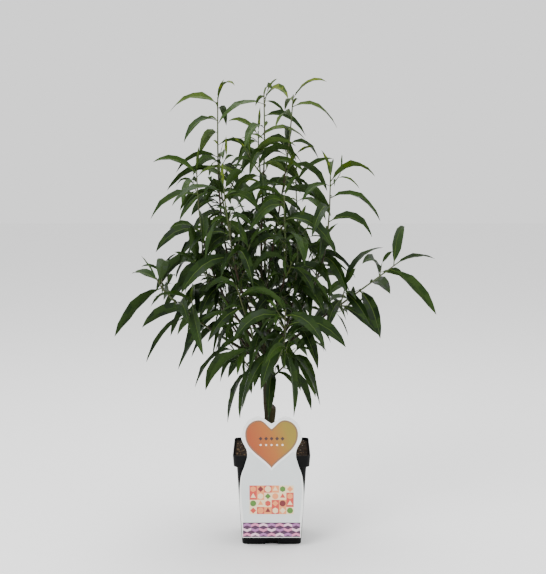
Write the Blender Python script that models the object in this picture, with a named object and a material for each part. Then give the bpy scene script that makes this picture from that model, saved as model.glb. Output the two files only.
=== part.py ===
"""A young dwarf peach tree in its square nursery pot, with the label card hooked over the rim.

The tree stands on the pot's flat underside, with the origin at the centre of that underside,
+Z up, +X to the right and -Y towards the viewer. Limbs and leaves are grown from the named sizes
below: the trunk carries boughs, each bough carries one mass of foliage at its tip, and short spurs
leave the trunk directly. A leaf keeps clear of every limb and of every other leaf, or isn't grown.
"""
import math
import random
from collections import namedtuple

import bmesh
import bpy
from mathutils import Matrix, Vector
from mathutils.bvhtree import BVHTree

GAP = 0.0003                  # left between two pieces that meet
WELD = 0.000001
FLAT_ANGLE = 0.5              # faces within this of one plane are one face
UP = Vector((0.0, 0.0, 1.0))

# Pot
POT_HEIGHT = 0.204
POT_FOOT_WIDTH = 0.130
POT_SHOULDER_WIDTH = 0.152    # just under the rim band
POT_BAND_WIDTH = 0.165        # lower edge of the rim band
POT_RIM_WIDTH = 0.169
POT_BAND_HEIGHT = 0.026
POT_OVERLAP = 0.004           # how far the wall runs up inside the band
POT_WALL = 0.0016
POT_FLOOR = 0.0022
POT_CORNER = 0.012
NOTCH_WIDTH = 0.028
NOTCH_HEIGHT = 0.010
NOTCH_DEPTH = 0.006
DRAIN_RADIUS = 0.005
DRAIN_OFFSET = 0.036
SOIL_LEVEL = 0.196
CUT_SPARE = 0.010             # how far a cut runs on past what it cuts

# Label card: heights, and half widths at them
CARD_THICKNESS = 0.0008
CARD_FACE_Y = -0.0900
CARD_FOOT = 0.023
CARD_FOOT_HALF = 0.0638
CARD_SHOULDER = 0.153
CARD_SHOULDER_HALF = 0.0675
CARD_WAIST = 0.210
CARD_WAIST_HALF = 0.0525
HEART_WIDEST = 0.253
HEART_HALF = 0.0650
HEART_TOP = 0.292
HEART_LOBE = 0.0343
HEART_NOTCH = 0.277
HOOK_WIDTH = 0.016
HOOK_DROP = 0.0062

# Trunk: the rootstock with its sawn stub, and the grafted stem that runs on up
TRUNK_FOOT_X = -0.008
TRUNK_LEAN = -0.014           # sideways shift from soil to tip
TRUNK_SWAY = 0.004
TRUNK_TOP = 0.600
TRUNK_END = 0.004             # straight length under its tip
FLARE_RADIUS = 0.0170
FLARE_HEIGHT = 0.022
ROOTSTOCK_RADIUS = 0.0118
GRAFT_HEIGHT = 0.284
GRAFT_RADIUS = 0.0130
STUB_LEAN = 0.006             # sideways shift of the rootstock from soil to stub
STUB_TOP = 0.297
STUB_CUT_TILT = 24.0
STUB_SPARE = 0.010            # grown above the cut, and sawn off
STEM_START = 0.252
STEM_CLEAR = 0.310            # where the grafted stem stands free of the stub
STEM_RADIUS = 0.0068
STEM_TIP_RADIUS = 0.0034

# Boughs and twigs
BOUGH_RADIUS = 0.0042
BOUGH_TIP_RADIUS = 0.0029
BOUGH_SHARE = 0.85            # thickest bough beside the trunk that carries it
BOUGH_STEPS = 6
BOUGH_END = 0.006             # straight length at its tip
TIP_STEP = 0.010              # share of a shoot over which its direction is taken
TWIG_RADIUS = 0.0027          # three-sided, measured to a corner
TWIG_TIP_RADIUS = 0.0017
SIDE_TWIG_RADIUS = 0.0021
SIDE_TWIG_NODES = 3
SIDE_TWIG_SPACING = 0.021
SIDE_TWIG_LIFT = 0.006        # each step of a side twig bends up by this much
SHOOT_SWAY = 0.006
NODE_SPACING = 0.026          # between two leaves on a stem
PATH_STEPS = 200
RING_GUIDE = Vector((0.31, 0.95, 0.02))   # turns the rings of a stem, off the way most stems run

# Leaves
LEAF_STEPS = 12               # steps along a midrib
LEAF_RINGS = ((4, 0.97), (8, 0.84))   # step along the midrib, share of the full width
LEAF_ASPECT = 0.098           # half width by length
LEAF_ROOT_ASPECT = 0.008
LEAF_THICKNESS = 0.012        # by length, from the blade's face to the keel under its midrib
LEAF_TURN = 137.5             # from one leaf to the next round the stem
LEAF_TRIES = 10
TIP_LEAVES = ((0.016, 2.6), (0.009, 1.6), (0.002, 0.0))   # the tip's tuft: how far below it, age
TURN_SPREAD = 0.2             # how far a leaf may swing from its turn, and again as far each try
LATE_SHRINK = 0.8             # length of a leaf in the later tries
CLEARANCE = 0.0008            # kept by a leaf to everything but its own twig
SPACE_MARGIN = 0.055          # how far a leaf may lean past halfway to a neighbour's stem
# By a leaf's age in nodes below the tip: newest, gained each node, and the age where that stops
LENGTH_BY_AGE = (0.40, 0.22, 2.73)    # share of the full length
SET_BY_AGE = (14.0, 15.0, 3.5)        # degrees away from the twig
DROOP_BY_AGE = (0.30, 0.36, 3.0)
HANG_BY_AGE = (0.00, 0.167, 6.0)      # share of its shoot's own hang
# Random spread of each about its rule
LENGTH_SPREAD = (0.88, 1.06)
SET_SPREAD = 8.6
DROOP_SPREAD = (-0.25, 0.35)
SICKLE = 0.35                 # sideways bend
ROLL = (0.35, 1.15)           # turn about its chord, either way
SHARPEST = 0.2                # least agreement of a midrib's direction from one ring to the next
EDGEWAYS = 0.8                # most that a midrib may run along its own blade's width
STEEP = 0.15                  # a leaf that sets off with less sideways than this faces out from its twig

CROWN_LOW = Vector((-0.342, -0.270, 0.240))
CROWN_HIGH = Vector((0.373, 0.290, 1.014))

# height: where the shoot leaves the trunk; heading: degrees round from +X; spread: sideways reach;
# top: height of its tip; flare: 1 is straight, more turns upright sooner; bare: share of it that is
# bough; leaf: length of a full leaf; hang: how much its leaves droop; twigs: how many side twigs;
# seed: its own random draws
Shoot = namedtuple("Shoot", "name height heading spread top flare bare leaf hang twigs seed")
SHOOTS = (
    Shoot("leader", 0.600, 20, 0.006, 0.985, 1.0, 0.00, 0.135, 0.2, 2, 10),
    Shoot("left_top", 0.440, 175, 0.100, 0.975, 3.8, 0.14, 0.135, 0.3, 2, 2),
    Shoot("right_top", 0.500, 24, 0.072, 0.980, 1.1, 0.12, 0.140, 0.3, 2, 14),
    Shoot("right_arm", 0.400, 354, 0.294, 0.622, 1.0, 0.34, 0.140, -0.3, 1, 13),
    Shoot("left_arm", 0.395, 190, 0.238, 0.588, 1.4, 0.36, 0.150, -0.1, 1, 3),
    Shoot("right_mid", 0.420, 352, 0.144, 0.810, 3.0, 0.18, 0.140, 0.5, 1, 10),
    Shoot("left_mid", 0.420, 192, 0.148, 0.820, 2.5, 0.18, 0.140, 0.7, 1, 12),
    Shoot("front_young", 0.385, 247, 0.152, 0.585, 1.6, 0.30, 0.110, 0.3, 1, 7),
    Shoot("front_right", 0.450, 292, 0.116, 0.770, 2.5, 0.16, 0.140, 1.0, 1, 19),
    Shoot("front_left", 0.470, 233, 0.137, 0.790, 2.6, 0.16, 0.140, 1.0, 1, 20),
    Shoot("back", 0.465, 97, 0.100, 0.900, 2.2, 0.14, 0.135, 0.8, 1, 21),
    Shoot("back_left", 0.484, 128, 0.160, 0.840, 2.4, 0.16, 0.140, 0.9, 1, 22),
    Shoot("back_right", 0.430, 62, 0.150, 0.790, 2.3, 0.16, 0.140, 0.9, 1, 23),
    Shoot("left_low", 0.375, 160, 0.150, 0.670, 2.0, 0.20, 0.145, 1.2, 1, 24),
    Shoot("right_low", 0.380, 320, 0.095, 0.700, 2.2, 0.20, 0.145, 1.2, 1, 25),
    Shoot("back_arm_left", 0.365, 130, 0.230, 0.590, 1.3, 0.30, 0.140, 0.8, 1, 26),
    Shoot("back_arm_right", 0.375, 60, 0.220, 0.610, 1.2, 0.30, 0.140, 0.8, 1, 27),
    Shoot("front_arm", 0.360, 283, 0.190, 0.540, 1.5, 0.30, 0.145, 1.0, 1, 28),
    Shoot("spur_low_left", 0.350, 204, 0.085, 0.440, 1.2, 0.00, 0.140, 2.2, 0, 31),
    Shoot("spur_low_right", 0.345, 345, 0.070, 0.425, 1.2, 0.00, 0.140, 2.2, 0, 32),
    Shoot("spur_low_back", 0.355, 85, 0.090, 0.430, 1.2, 0.00, 0.140, 2.2, 0, 33),
    Shoot("spur_low_front", 0.372, 250, 0.095, 0.445, 1.2, 0.00, 0.140, 2.2, 0, 34),
    Shoot("spur_mid_front", 0.430, 275, 0.090, 0.520, 1.2, 0.00, 0.140, 2.0, 0, 39),
    Shoot("spur_mid_back", 0.445, 85, 0.075, 0.525, 1.2, 0.00, 0.140, 2.0, 0, 40),
    Shoot("spur_mid_right", 0.480, 335, 0.060, 0.560, 1.2, 0.00, 0.140, 1.8, 0, 35),
    Shoot("spur_mid_left", 0.500, 205, 0.060, 0.570, 1.2, 0.00, 0.140, 1.8, 0, 36),
    Shoot("spur_high_front", 0.550, 275, 0.055, 0.630, 1.2, 0.00, 0.140, 1.5, 0, 37),
    Shoot("spur_high_back", 0.565, 140, 0.055, 0.650, 1.2, 0.00, 0.140, 1.5, 0, 38),
)

# Colours: base colour and roughness
POT_BLACK = ((0.012, 0.012, 0.013), 0.45)
SOIL_BROWN = ((0.045, 0.026, 0.016), 0.95)
CARD_WHITE = ((0.80, 0.80, 0.78), 0.35)
BARK_BROWN = ((0.100, 0.066, 0.042), 0.80)
SHOOT_OLIVE = ((0.120, 0.090, 0.035), 0.65)
LEAF_DARK = Vector((0.022, 0.055, 0.010))
LEAF_LIGHT = Vector((0.090, 0.160, 0.026))
LEAF_ROUGHNESS = 0.45


def clear_scene():
    for obj in list(bpy.data.objects):
        bpy.data.objects.remove(obj, do_unlink=True)


def new_collection(name):
    collection = bpy.data.collections.new(name)
    bpy.context.scene.collection.children.link(collection)
    return collection


def paint(obj, colour, roughness):
    material = bpy.data.materials.new(obj.name)
    material.use_nodes = True
    shader = material.node_tree.nodes["Principled BSDF"]
    shader.inputs["Base Color"].default_value = (*colour, 1.0)
    shader.inputs["Roughness"].default_value = roughness
    shader.inputs["Metallic"].default_value = 0.0
    obj.data.materials.clear()
    obj.data.materials.append(material)


def add_object(name, bm, collection):
    mesh = bpy.data.meshes.new(name)
    bm.to_mesh(mesh)
    bm.free()
    obj = bpy.data.objects.new(name, mesh)
    collection.objects.link(obj)
    return obj


def apply_modifiers(obj):
    before = obj.data
    graph = bpy.context.evaluated_depsgraph_get()
    mesh = bpy.data.meshes.new_from_object(obj.evaluated_get(graph))
    obj.modifiers.clear()
    obj.data = mesh
    bpy.data.meshes.remove(before)


def combine(obj, other, operation, keep_other=False):
    """Join or cut with another object."""
    modifier = obj.modifiers.new(operation.lower(), "BOOLEAN")
    modifier.operation = operation
    modifier.object = other
    apply_modifiers(obj)
    if not keep_other:
        bpy.data.objects.remove(other, do_unlink=True)


def keep_largest_body(obj):
    """Fill sealed hollows, drop loose scraps and merge flat faces: the main body's skin stays."""
    bm = bmesh.new()
    bm.from_mesh(obj.data)
    left = set(bm.verts)
    bodies = []
    while left:
        queue = [left.pop()]
        body = set(queue)
        while queue:
            for edge in queue.pop().link_edges:
                for vert in edge.verts:
                    if vert not in body:
                        body.add(vert)
                        queue.append(vert)
        left -= body
        bodies.append(body)
    largest = max(bodies, key=len)
    bmesh.ops.delete(bm, geom=[v for v in bm.verts if v not in largest], context="VERTS")
    flat = math.radians(FLAT_ANGLE)
    bmesh.ops.dissolve_limit(bm, angle_limit=flat, verts=bm.verts, edges=bm.edges)
    bm.to_mesh(obj.data)
    bm.free()


def box(name, low, high, collection):
    bm = bmesh.new()
    bmesh.ops.create_cube(bm, size=1.0)
    for vert in bm.verts:
        vert.co = Vector([a + (b - a) * (c + 0.5) for a, b, c in zip(low, high, vert.co)])
    return add_object(name, bm, collection)


def tapered_block(name, low_width, high_width, low_z, high_z, corner, collection):
    """A square block with upright rounded corners, wider at the top."""
    bm = bmesh.new()
    bmesh.ops.create_cube(bm, size=1.0)
    for vert in bm.verts:
        width = high_width if vert.co.z > 0 else low_width
        z = high_z if vert.co.z > 0 else low_z
        vert.co = Vector((vert.co.x * width, vert.co.y * width, z))
    upright = [e for e in bm.edges if abs(e.verts[0].co.z - e.verts[1].co.z) > (high_z - low_z) / 2]
    bmesh.ops.bevel(bm, geom=upright, offset=corner, segments=3, profile=0.5, affect="EDGES", material=-1)
    return add_object(name, bm, collection)


def drill(x, y, collection):
    bm = bmesh.new()
    bmesh.ops.create_cone(bm, cap_ends=True, segments=8, radius1=DRAIN_RADIUS, radius2=DRAIN_RADIUS,
                          depth=POT_FLOOR * 4, matrix=Matrix.Translation((x, y, 0.0)))
    return add_object("drain", bm, collection)


def build_pot(collection):
    """Tapered shell with a wider band round the rim, notches at the foot and drain holes."""
    shoulder = POT_HEIGHT - POT_BAND_HEIGHT
    pot = tapered_block("pot", POT_FOOT_WIDTH, POT_SHOULDER_WIDTH, 0.0, shoulder + POT_OVERLAP,
                        POT_CORNER, collection)
    band = tapered_block("band", POT_BAND_WIDTH, POT_RIM_WIDTH, shoulder, POT_HEIGHT,
                         POT_CORNER, collection)
    combine(pot, band, "UNION")
    combine(pot, pot_room("room", 0.0, POT_HEIGHT + CUT_SPARE, collection), "DIFFERENCE")
    reach = POT_FOOT_WIDTH / 2
    half = NOTCH_WIDTH / 2
    for side in range(4):
        low = (-half, reach - NOTCH_DEPTH, -CUT_SPARE)
        notch = box("notch", low, (half, reach + CUT_SPARE, NOTCH_HEIGHT), collection)
        notch.data.transform(Matrix.Rotation(side * math.pi / 2, 4, "Z"))
        combine(pot, notch, "DIFFERENCE")
    for x in (-DRAIN_OFFSET, DRAIN_OFFSET):
        for y in (-DRAIN_OFFSET, DRAIN_OFFSET):
            combine(pot, drill(x, y, collection), "DIFFERENCE")
    paint(pot, *POT_BLACK)


def pot_room(name, clear, top, collection):
    """The space inside the pot, up to a height; clear is kept to the walls and the floor."""
    shoulder = POT_HEIGHT - POT_BAND_HEIGHT
    wall = 2 * (POT_WALL + clear)
    body = tapered_block(name, POT_FOOT_WIDTH - wall, POT_SHOULDER_WIDTH - wall, POT_FLOOR + clear,
                         shoulder + POT_OVERLAP, POT_CORNER - POT_WALL, collection)
    slope = (POT_RIM_WIDTH - POT_BAND_WIDTH) / POT_BAND_HEIGHT
    low = shoulder + POT_WALL + clear
    widths = [POT_BAND_WIDTH + slope * (z - shoulder) - wall for z in (low, top)]
    upper = tapered_block("upper", *widths, low, top, POT_CORNER - POT_WALL, collection)
    combine(body, upper, "UNION")
    return body


def build_soil(collection):
    soil = pot_room("soil", GAP, SOIL_LEVEL, collection)
    paint(soil, *SOIL_BROWN)


def card_outline():
    """The card's edge in X and Z, round from the left foot; sharp where two stretches meet."""
    right = ((CARD_FOOT_HALF, CARD_FOOT, "VECTOR"), (CARD_SHOULDER_HALF, CARD_SHOULDER, "AUTO"),
             (CARD_WAIST_HALF, CARD_WAIST, "AUTO"), (HEART_HALF, HEART_WIDEST, "AUTO"),
             (HEART_LOBE, HEART_TOP, "AUTO"))
    left = [(-x, z, kind) for x, z, kind in reversed(right)]
    return list(right) + [(0.0, HEART_NOTCH, "VECTOR")] + left


def build_card(collection):
    """A thin card cut to a heart above a panel, hung by a strip bent over the rim."""
    curve = bpy.data.curves.new("card", "CURVE")
    curve.dimensions = "2D"
    curve.fill_mode = "BOTH"
    curve.extrude = CARD_THICKNESS / 2
    curve.resolution_u = 5
    outline = card_outline()
    spline = curve.splines.new("BEZIER")
    spline.bezier_points.add(len(outline) - 1)
    spline.use_cyclic_u = True
    for point, (x, z, kind) in zip(spline.bezier_points, outline):
        point.co = (x, z, 0.0)
        point.handle_left_type = kind
        point.handle_right_type = kind
    shape = bpy.data.objects.new("card shape", curve)
    collection.objects.link(shape)
    place = Matrix.Translation((0.0, CARD_FACE_Y + CARD_THICKNESS / 2, 0.0))
    shape.matrix_world = place @ Matrix.Rotation(math.pi / 2, 4, "X")
    card = mesh_from_curve("label_card", shape, collection)
    back = CARD_FACE_Y + CARD_THICKNESS / 2
    inside = -(POT_RIM_WIDTH / 2 - POT_WALL) + 2 * GAP
    low, high = POT_HEIGHT + GAP, POT_HEIGHT + GAP + CARD_THICKNESS
    half = HOOK_WIDTH / 2
    strip = box("strip", (-half, back, low), (half, inside + CARD_THICKNESS, high), collection)
    tongue = box("tongue", (-half, inside, high - HOOK_DROP - CARD_THICKNESS),
                 (half, inside + CARD_THICKNESS, high), collection)
    combine(strip, tongue, "UNION")
    combine(card, strip, "UNION")
    paint(card, *CARD_WHITE)


def mesh_from_curve(name, shape, collection):
    """A closed mesh object made from a curve object, which is removed."""
    graph = bpy.context.evaluated_depsgraph_get()
    mesh = bpy.data.meshes.new_from_object(shape.evaluated_get(graph))
    bm = bmesh.new()
    bm.from_mesh(mesh)
    bmesh.ops.remove_doubles(bm, verts=bm.verts, dist=WELD)
    bmesh.ops.transform(bm, matrix=shape.matrix_world, verts=bm.verts)
    bpy.data.objects.remove(shape, do_unlink=True)
    bpy.data.meshes.remove(mesh)
    return add_object(name, bm, collection)


def tube(name, points, radii, roundness, collection):
    """A tapering round limb through points, with flat ends."""
    curve = bpy.data.curves.new(name, "CURVE")
    curve.dimensions = "3D"
    curve.bevel_depth = 1.0
    curve.bevel_resolution = roundness
    curve.use_fill_caps = True
    spline = curve.splines.new("POLY")
    spline.points.add(len(points) - 1)
    for point, place, radius in zip(spline.points, points, radii):
        point.co = (*place, 1.0)
        point.radius = radius
    shape = bpy.data.objects.new(name + " path", curve)
    collection.objects.link(shape)
    return mesh_from_curve(name, shape, collection)


def ease(low, high, value):
    share = min(1.0, max(0.0, (value - low) / (high - low)))
    return share * share * (3 - 2 * share)


def trunk_point(z):
    """The trunk's axis: the rootstock up to the graft, then the stem grafted on its left."""
    climb = (z - SOIL_LEVEL) / (TRUNK_TOP - SOIL_LEVEL)
    x = TRUNK_FOOT_X + TRUNK_LEAN * climb * ease(STEM_START, STEM_CLEAR, z)
    y = TRUNK_SWAY * math.sin(2 * math.pi * climb) * ease(STEM_START, STEM_CLEAR, z)
    return Vector((x, y, z))


def trunk_radius(z):
    share = (z - STEM_CLEAR) / (TRUNK_TOP - STEM_CLEAR)
    return STEM_RADIUS + (STEM_TIP_RADIUS - STEM_RADIUS) * max(0.0, share)


def rootstock_path():
    """Points and radii up the rootstock: root flare, column, swelling at the graft, stub."""
    foot = SOIL_LEVEL + GAP
    steps = ((foot, FLARE_RADIUS), (foot + FLARE_HEIGHT * 0.3, FLARE_RADIUS * 0.84),
             (foot + FLARE_HEIGHT, ROOTSTOCK_RADIUS * 1.03), (0.245, ROOTSTOCK_RADIUS),
             (0.266, ROOTSTOCK_RADIUS), (GRAFT_HEIGHT, GRAFT_RADIUS),
             (STUB_TOP + STUB_SPARE, ROOTSTOCK_RADIUS))
    points = []
    for z, radius in steps:
        climb = max(0.0, z - foot - FLARE_HEIGHT * 0.3) / (STUB_TOP - foot)
        points.append(Vector((TRUNK_FOOT_X + STUB_LEAN * climb, 0.0, z)))
    return points, [radius for z, radius in steps]


def stem_path():
    heights = [STEM_START + (STEM_CLEAR - STEM_START) * i / 3 for i in range(3)]
    heights += [STEM_CLEAR + (TRUNK_TOP - STEM_CLEAR) * i / 10 for i in range(10)]
    heights += [TRUNK_TOP - TRUNK_END, TRUNK_TOP]
    return [trunk_point(z) for z in heights], [trunk_radius(z) for z in heights]


def build_trunk(name, extra, collection):
    """The trunk, made extra thicker all round where it serves to cut what meets it."""
    points, radii = rootstock_path()
    trunk = tube(name, points, [r + extra for r in radii], 3, collection)
    top = Vector((TRUNK_FOOT_X + STUB_LEAN, 0.0, STUB_TOP + extra))
    tilt = math.radians(STUB_CUT_TILT)
    saw = Vector((math.sin(tilt), -math.sin(tilt) / 2, math.cos(tilt)))
    bm = bmesh.new()
    bm.from_mesh(trunk.data)
    whole = bm.verts[:] + bm.edges[:] + bm.faces[:]
    bmesh.ops.bisect_plane(bm, geom=whole, plane_co=top, plane_no=saw, clear_outer=True)
    bmesh.ops.holes_fill(bm, edges=[e for e in bm.edges if e.is_boundary])
    bm.to_mesh(trunk.data)
    bm.free()
    points, radii = stem_path()
    stem = tube("stem", points, [r + extra for r in radii], 3, collection)
    combine(trunk, stem, "UNION")
    return trunk


def shoot_axes(shoot):
    """The level direction a shoot heads in, and the one to the left of it."""
    heading = math.radians(shoot.heading)
    out = Vector((math.cos(heading), math.sin(heading), 0.0))
    return out, UP.cross(out)


def shoot_point(shoot, share):
    """A point on a shoot's path, from the trunk's axis at share 0 to its tip at share 1."""
    out, across = shoot_axes(shoot)
    reach = shoot.spread * (1 - (1 - share) ** shoot.flare)
    phase = math.radians(shoot.heading)
    sway = SHOOT_SWAY * (math.sin(2 * math.pi * share + phase) - math.sin(phase))
    rise = (shoot.top - shoot.height) * share
    return trunk_point(shoot.height) + out * reach + across * sway + UP * rise


def walk(shoot, start, end, spacing):
    """Points at an even spacing along a shoot between two shares of its path."""
    fine = [shoot_point(shoot, start + (end - start) * i / PATH_STEPS) for i in range(PATH_STEPS + 1)]
    gone = [0.0]
    for a, b in zip(fine, fine[1:]):
        gone.append(gone[-1] + (b - a).length)
    count = max(2, round(gone[-1] / spacing))
    points = []
    step = 0
    for k in range(count + 1):
        want = gone[-1] * k / count
        while step < PATH_STEPS - 1 and gone[step + 1] < want:
            step += 1
        share = (want - gone[step]) / (gone[step + 1] - gone[step])
        points.append(fine[step].lerp(fine[step + 1], share))
    return points


def taper(low, high, count):
    return [low + (high - low) * i / (count - 1) for i in range(count)]


def bough_path(shoot):
    """Points and radii of a bough, from inside the trunk to where the foliage begins."""
    points = [shoot_point(shoot, shoot.bare * i / BOUGH_STEPS) for i in range(BOUGH_STEPS + 1)]
    along = shoot_point(shoot, shoot.bare + TIP_STEP) - points[-1]
    points[-2] = points[-1] - along.normalized() * BOUGH_END
    base = min(BOUGH_RADIUS, trunk_radius(shoot.height) * BOUGH_SHARE)
    return points, taper(base, BOUGH_TIP_RADIUS, len(points))


def stem_nodes(shoot):
    """Where the leaves of a mass stand on its stem, whose straight pieces are two nodes long."""
    nodes = walk(shoot, shoot.bare, 1.0, NODE_SPACING)
    for i in range(1, len(nodes) - 1, 2):
        nodes[i] = (nodes[i - 1] + nodes[i + 1]) / 2
    if shoot.height == TRUNK_TOP or shoot.bare > 0.0:
        nodes[0] = nodes[0] + (nodes[1] - nodes[0]).normalized() * GAP
    return nodes


def rings_round(points, radii, sides, start=None):
    """Rings of points round a path, each square to it; start is the direction at the first."""
    turns = [2 * math.pi * k / sides for k in range(sides)]
    rings = []
    for i, (point, radius) in enumerate(zip(points, radii)):
        before, after = points[max(i - 1, 0)], points[min(i + 1, len(points) - 1)]
        along = start if i == 0 and start else (after - before).normalized()
        guide = RING_GUIDE if abs(along.dot(RING_GUIDE)) < 0.9 else Vector((1.0, 0.0, 0.0))
        first = along.cross(guide).normalized() * radius
        second = along.cross(first)
        rings.append([point + first * math.cos(t) + second * math.sin(t) for t in turns])
    return rings


def loft(rings):
    """One closed skin of triangles through rings of points; the last may be a single point."""
    bm = bmesh.new()
    loops = [[bm.verts.new(point) for point in ring] for ring in rings]
    bm.faces.new(loops[0])
    for low, high in zip(loops, loops[1:]):
        for i in range(len(low)):
            j = (i + 1) % len(low)
            if len(high) == 1:
                bm.faces.new((low[i], low[j], high[0]))
            else:
                bm.faces.new((low[i], low[j], high[j], high[i]))
    if len(loops[-1]) > 1:
        bm.faces.new(loops[-1])
    bmesh.ops.triangulate(bm, faces=bm.faces)
    bmesh.ops.recalc_face_normals(bm, faces=bm.faces)
    return bm


def tree_of(bm):
    """A search tree of a shape's faces, for telling whether two shapes touch."""
    found = BVHTree.FromBMesh(bm)
    bm.free()
    return found


def touches(bm, obstacles):
    own = tree_of(bm)
    return any(own.overlap(other) for other in obstacles)


def leaf_midrib(root, along, out, shape):
    """Points down a leaf's midrib, the direction down it at each, and the one across its blade."""
    start = along * math.cos(shape["angle"]) + out * math.sin(shape["angle"])
    flat = Vector((start.x, start.y, 0.0))
    if flat.length < STEEP:
        flat = Vector((out.x, out.y, 0.0))
    side = UP.cross(flat).normalized()
    points = [root.copy()]
    downs = []
    for k in range(LEAF_STEPS + 1):
        share = k / LEAF_STEPS
        down = start - UP * shape["droop"] * share + side * shape["sickle"] * share
        downs.append(down.normalized())
        points.append(points[-1] + downs[-1] * shape["length"] / LEAF_STEPS)
    chord = (points[LEAF_STEPS] - root).normalized()
    across = Matrix.Rotation(shape["roll"], 3, chord) @ side
    return points[:-1], downs, across


def leaf_rings(midrib, length, extra=0.0):
    """Rings of three points down a leaf, its two edges and its keel, and then its tip."""
    points, downs, across = midrib
    stations = [(0, LEAF_ROOT_ASPECT)] + [(k, LEAF_ASPECT * share) for k, share in LEAF_RINGS]
    thick = length * LEAF_THICKNESS
    rings = []
    for k, aspect in stations:
        face = downs[k].cross(across).normalized()
        edge = across * (length * aspect + 2 * extra)
        upper = points[k] + face * (thick / 3 + extra)
        rings.append([upper - edge, upper + edge, points[k] - face * (thick * 2 / 3 + 2 * extra)])
    rings.append([points[-1] + downs[-1] * extra])
    return rings


def by_age(rule, age):
    newest, gain, full_age = rule
    return newest + gain * min(age, full_age)


def leaf_shape(age, full, hang, draw):
    """Length, set and bend of a leaf, by its age in nodes below the tip."""
    return {
        "length": full * by_age(LENGTH_BY_AGE, age) * draw.uniform(*LENGTH_SPREAD),
        "angle": math.radians(by_age(SET_BY_AGE, age) + draw.uniform(-SET_SPREAD, SET_SPREAD)),
        "droop": by_age(DROOP_BY_AGE, age) + hang * by_age(HANG_BY_AGE, age) + draw.uniform(*DROOP_SPREAD),
        "sickle": draw.uniform(-SICKLE, SICKLE),
        "roll": draw.choice((-1, 1)) * draw.uniform(*ROLL),
    }


def folds(midrib):
    """Whether a leaf turns so hard that its blade would fold onto itself."""
    downs, across = midrib[1:]
    rings = [0] + [k for k, share in LEAF_RINGS] + [LEAF_STEPS]
    agreement = min(downs[a].dot(downs[b]) for a, b in zip(rings, rings[1:]))
    return agreement < SHARPEST or max(abs(down.dot(across)) for down in downs) > EDGEWAYS


def in_own_space(points, own, others):
    """Whether points keep within the crown and nearer to their own stem than far past halfway."""
    for point in points:
        if any(not a < c < b for a, c, b in zip(CROWN_LOW, point, CROWN_HIGH)):
            return False
        near = min((point - node).length for node in own)
        if any((point - node).length < near - SPACE_MARGIN for node in others):
            return False
    return True


def grow_leaf(mass, root, along, turn, age, draw):
    """Try a few leaves at one place of a stem, and keep the first that has room."""
    first = UP.cross(along).normalized()
    for attempt in range(LEAF_TRIES):
        aim = turn + draw.uniform(-TURN_SPREAD, TURN_SPREAD) * (1 + attempt)
        out = Matrix.Rotation(aim, 3, along) @ first
        shape = leaf_shape(age, mass["leaf"], mass["hang"], draw)
        if attempt > LEAF_TRIES / 2:
            shape["length"] *= LATE_SHRINK
        midrib = leaf_midrib(root, along, out, shape)
        if folds(midrib) or not in_own_space(midrib[0][::3], mass["nodes"], mass["others"]):
            continue
        rings = leaf_rings(midrib, shape["length"], CLEARANCE)
        if touches(loft(rings), mass["obstacles"]) or touches(loft(rings[1:]), mass["blades"]):
            continue
        solid = leaf_rings(midrib, shape["length"])
        mass["blades"].append(tree_of(loft(solid[1:])))
        mass["leaves"].append(solid)
        return


def grow_leaves(mass, nodes, turn, draw):
    """Leaves up one stem or side twig, turning round it, with a small tuft at the tip."""
    last = len(nodes) - 1
    for i in range(1, last):
        along = (nodes[i + 1] - nodes[i - 1]).normalized()
        turn += math.radians(LEAF_TURN)
        grow_leaf(mass, nodes[i], along, turn, last - i + TIP_LEAVES[0][1], draw)
    along = (nodes[last] - nodes[last - 1]).normalized()
    for below, age in TIP_LEAVES:
        turn += math.radians(LEAF_TURN)
        grow_leaf(mass, nodes[last] - along * below, along, turn, age, draw)


def side_twig(mass, root, along, draw):
    """A short twig off the stem that bends upwards, or none where there is no room."""
    first = along.orthogonal().normalized()
    for attempt in range(LEAF_TRIES):
        out = Matrix.Rotation(draw.uniform(0, 2 * math.pi), 3, along) @ first
        step = (along + out).normalized() * SIDE_TWIG_SPACING
        nodes = [root]
        for k in range(SIDE_TWIG_NODES):
            nodes.append(nodes[-1] + (step + UP * SIDE_TWIG_LIFT * k).normalized() * SIDE_TWIG_SPACING)
        radii = taper(SIDE_TWIG_RADIUS, TWIG_TIP_RADIUS, len(nodes))
        if not in_own_space(nodes, mass["nodes"], mass["others"]):
            continue
        if touches(loft(rings_round(nodes, [r + CLEARANCE for r in radii], 3)), mass["obstacles"]):
            continue
        return nodes, rings_round(nodes, radii, 3)
    return None, None


def grow_mass(shoot, stems, obstacles):
    """The rings of a mass: its stem, its side twigs and its leaves."""
    draw = random.Random(shoot.seed)
    nodes = stems[shoot.name]
    others = [node for name, points in stems.items() if name != shoot.name for node in points]
    along = shoot_point(shoot, shoot.bare + TIP_STEP) - shoot_point(shoot, shoot.bare)
    bends = nodes[:-1:2] + nodes[-1:]
    radii = taper(TWIG_RADIUS, TWIG_TIP_RADIUS, len(bends))
    mass = {
        "leaf": shoot.leaf, "hang": shoot.hang, "nodes": nodes, "others": others,
        "obstacles": [tree for name, tree in obstacles if name != shoot.name],
        "stem": rings_round(bends, radii, 3, along.normalized()),
        "twigs": [], "leaves": [], "blades": [],
    }
    twigs = []
    for k in range(shoot.twigs):
        place = round((len(nodes) - 1) * (k + 1) / (shoot.twigs + 2))
        twig, rings = side_twig(mass, nodes[place], (nodes[place + 1] - nodes[place]).normalized(), draw)
        if twig:
            twigs.append(twig)
            mass["twigs"].append(rings)
    turn = draw.uniform(0, 2 * math.pi)
    grow_leaves(mass, nodes, turn, draw)
    for twig in twigs:
        grow_leaves(mass, twig, draw.uniform(0, 2 * math.pi), draw)
    return mass


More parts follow.
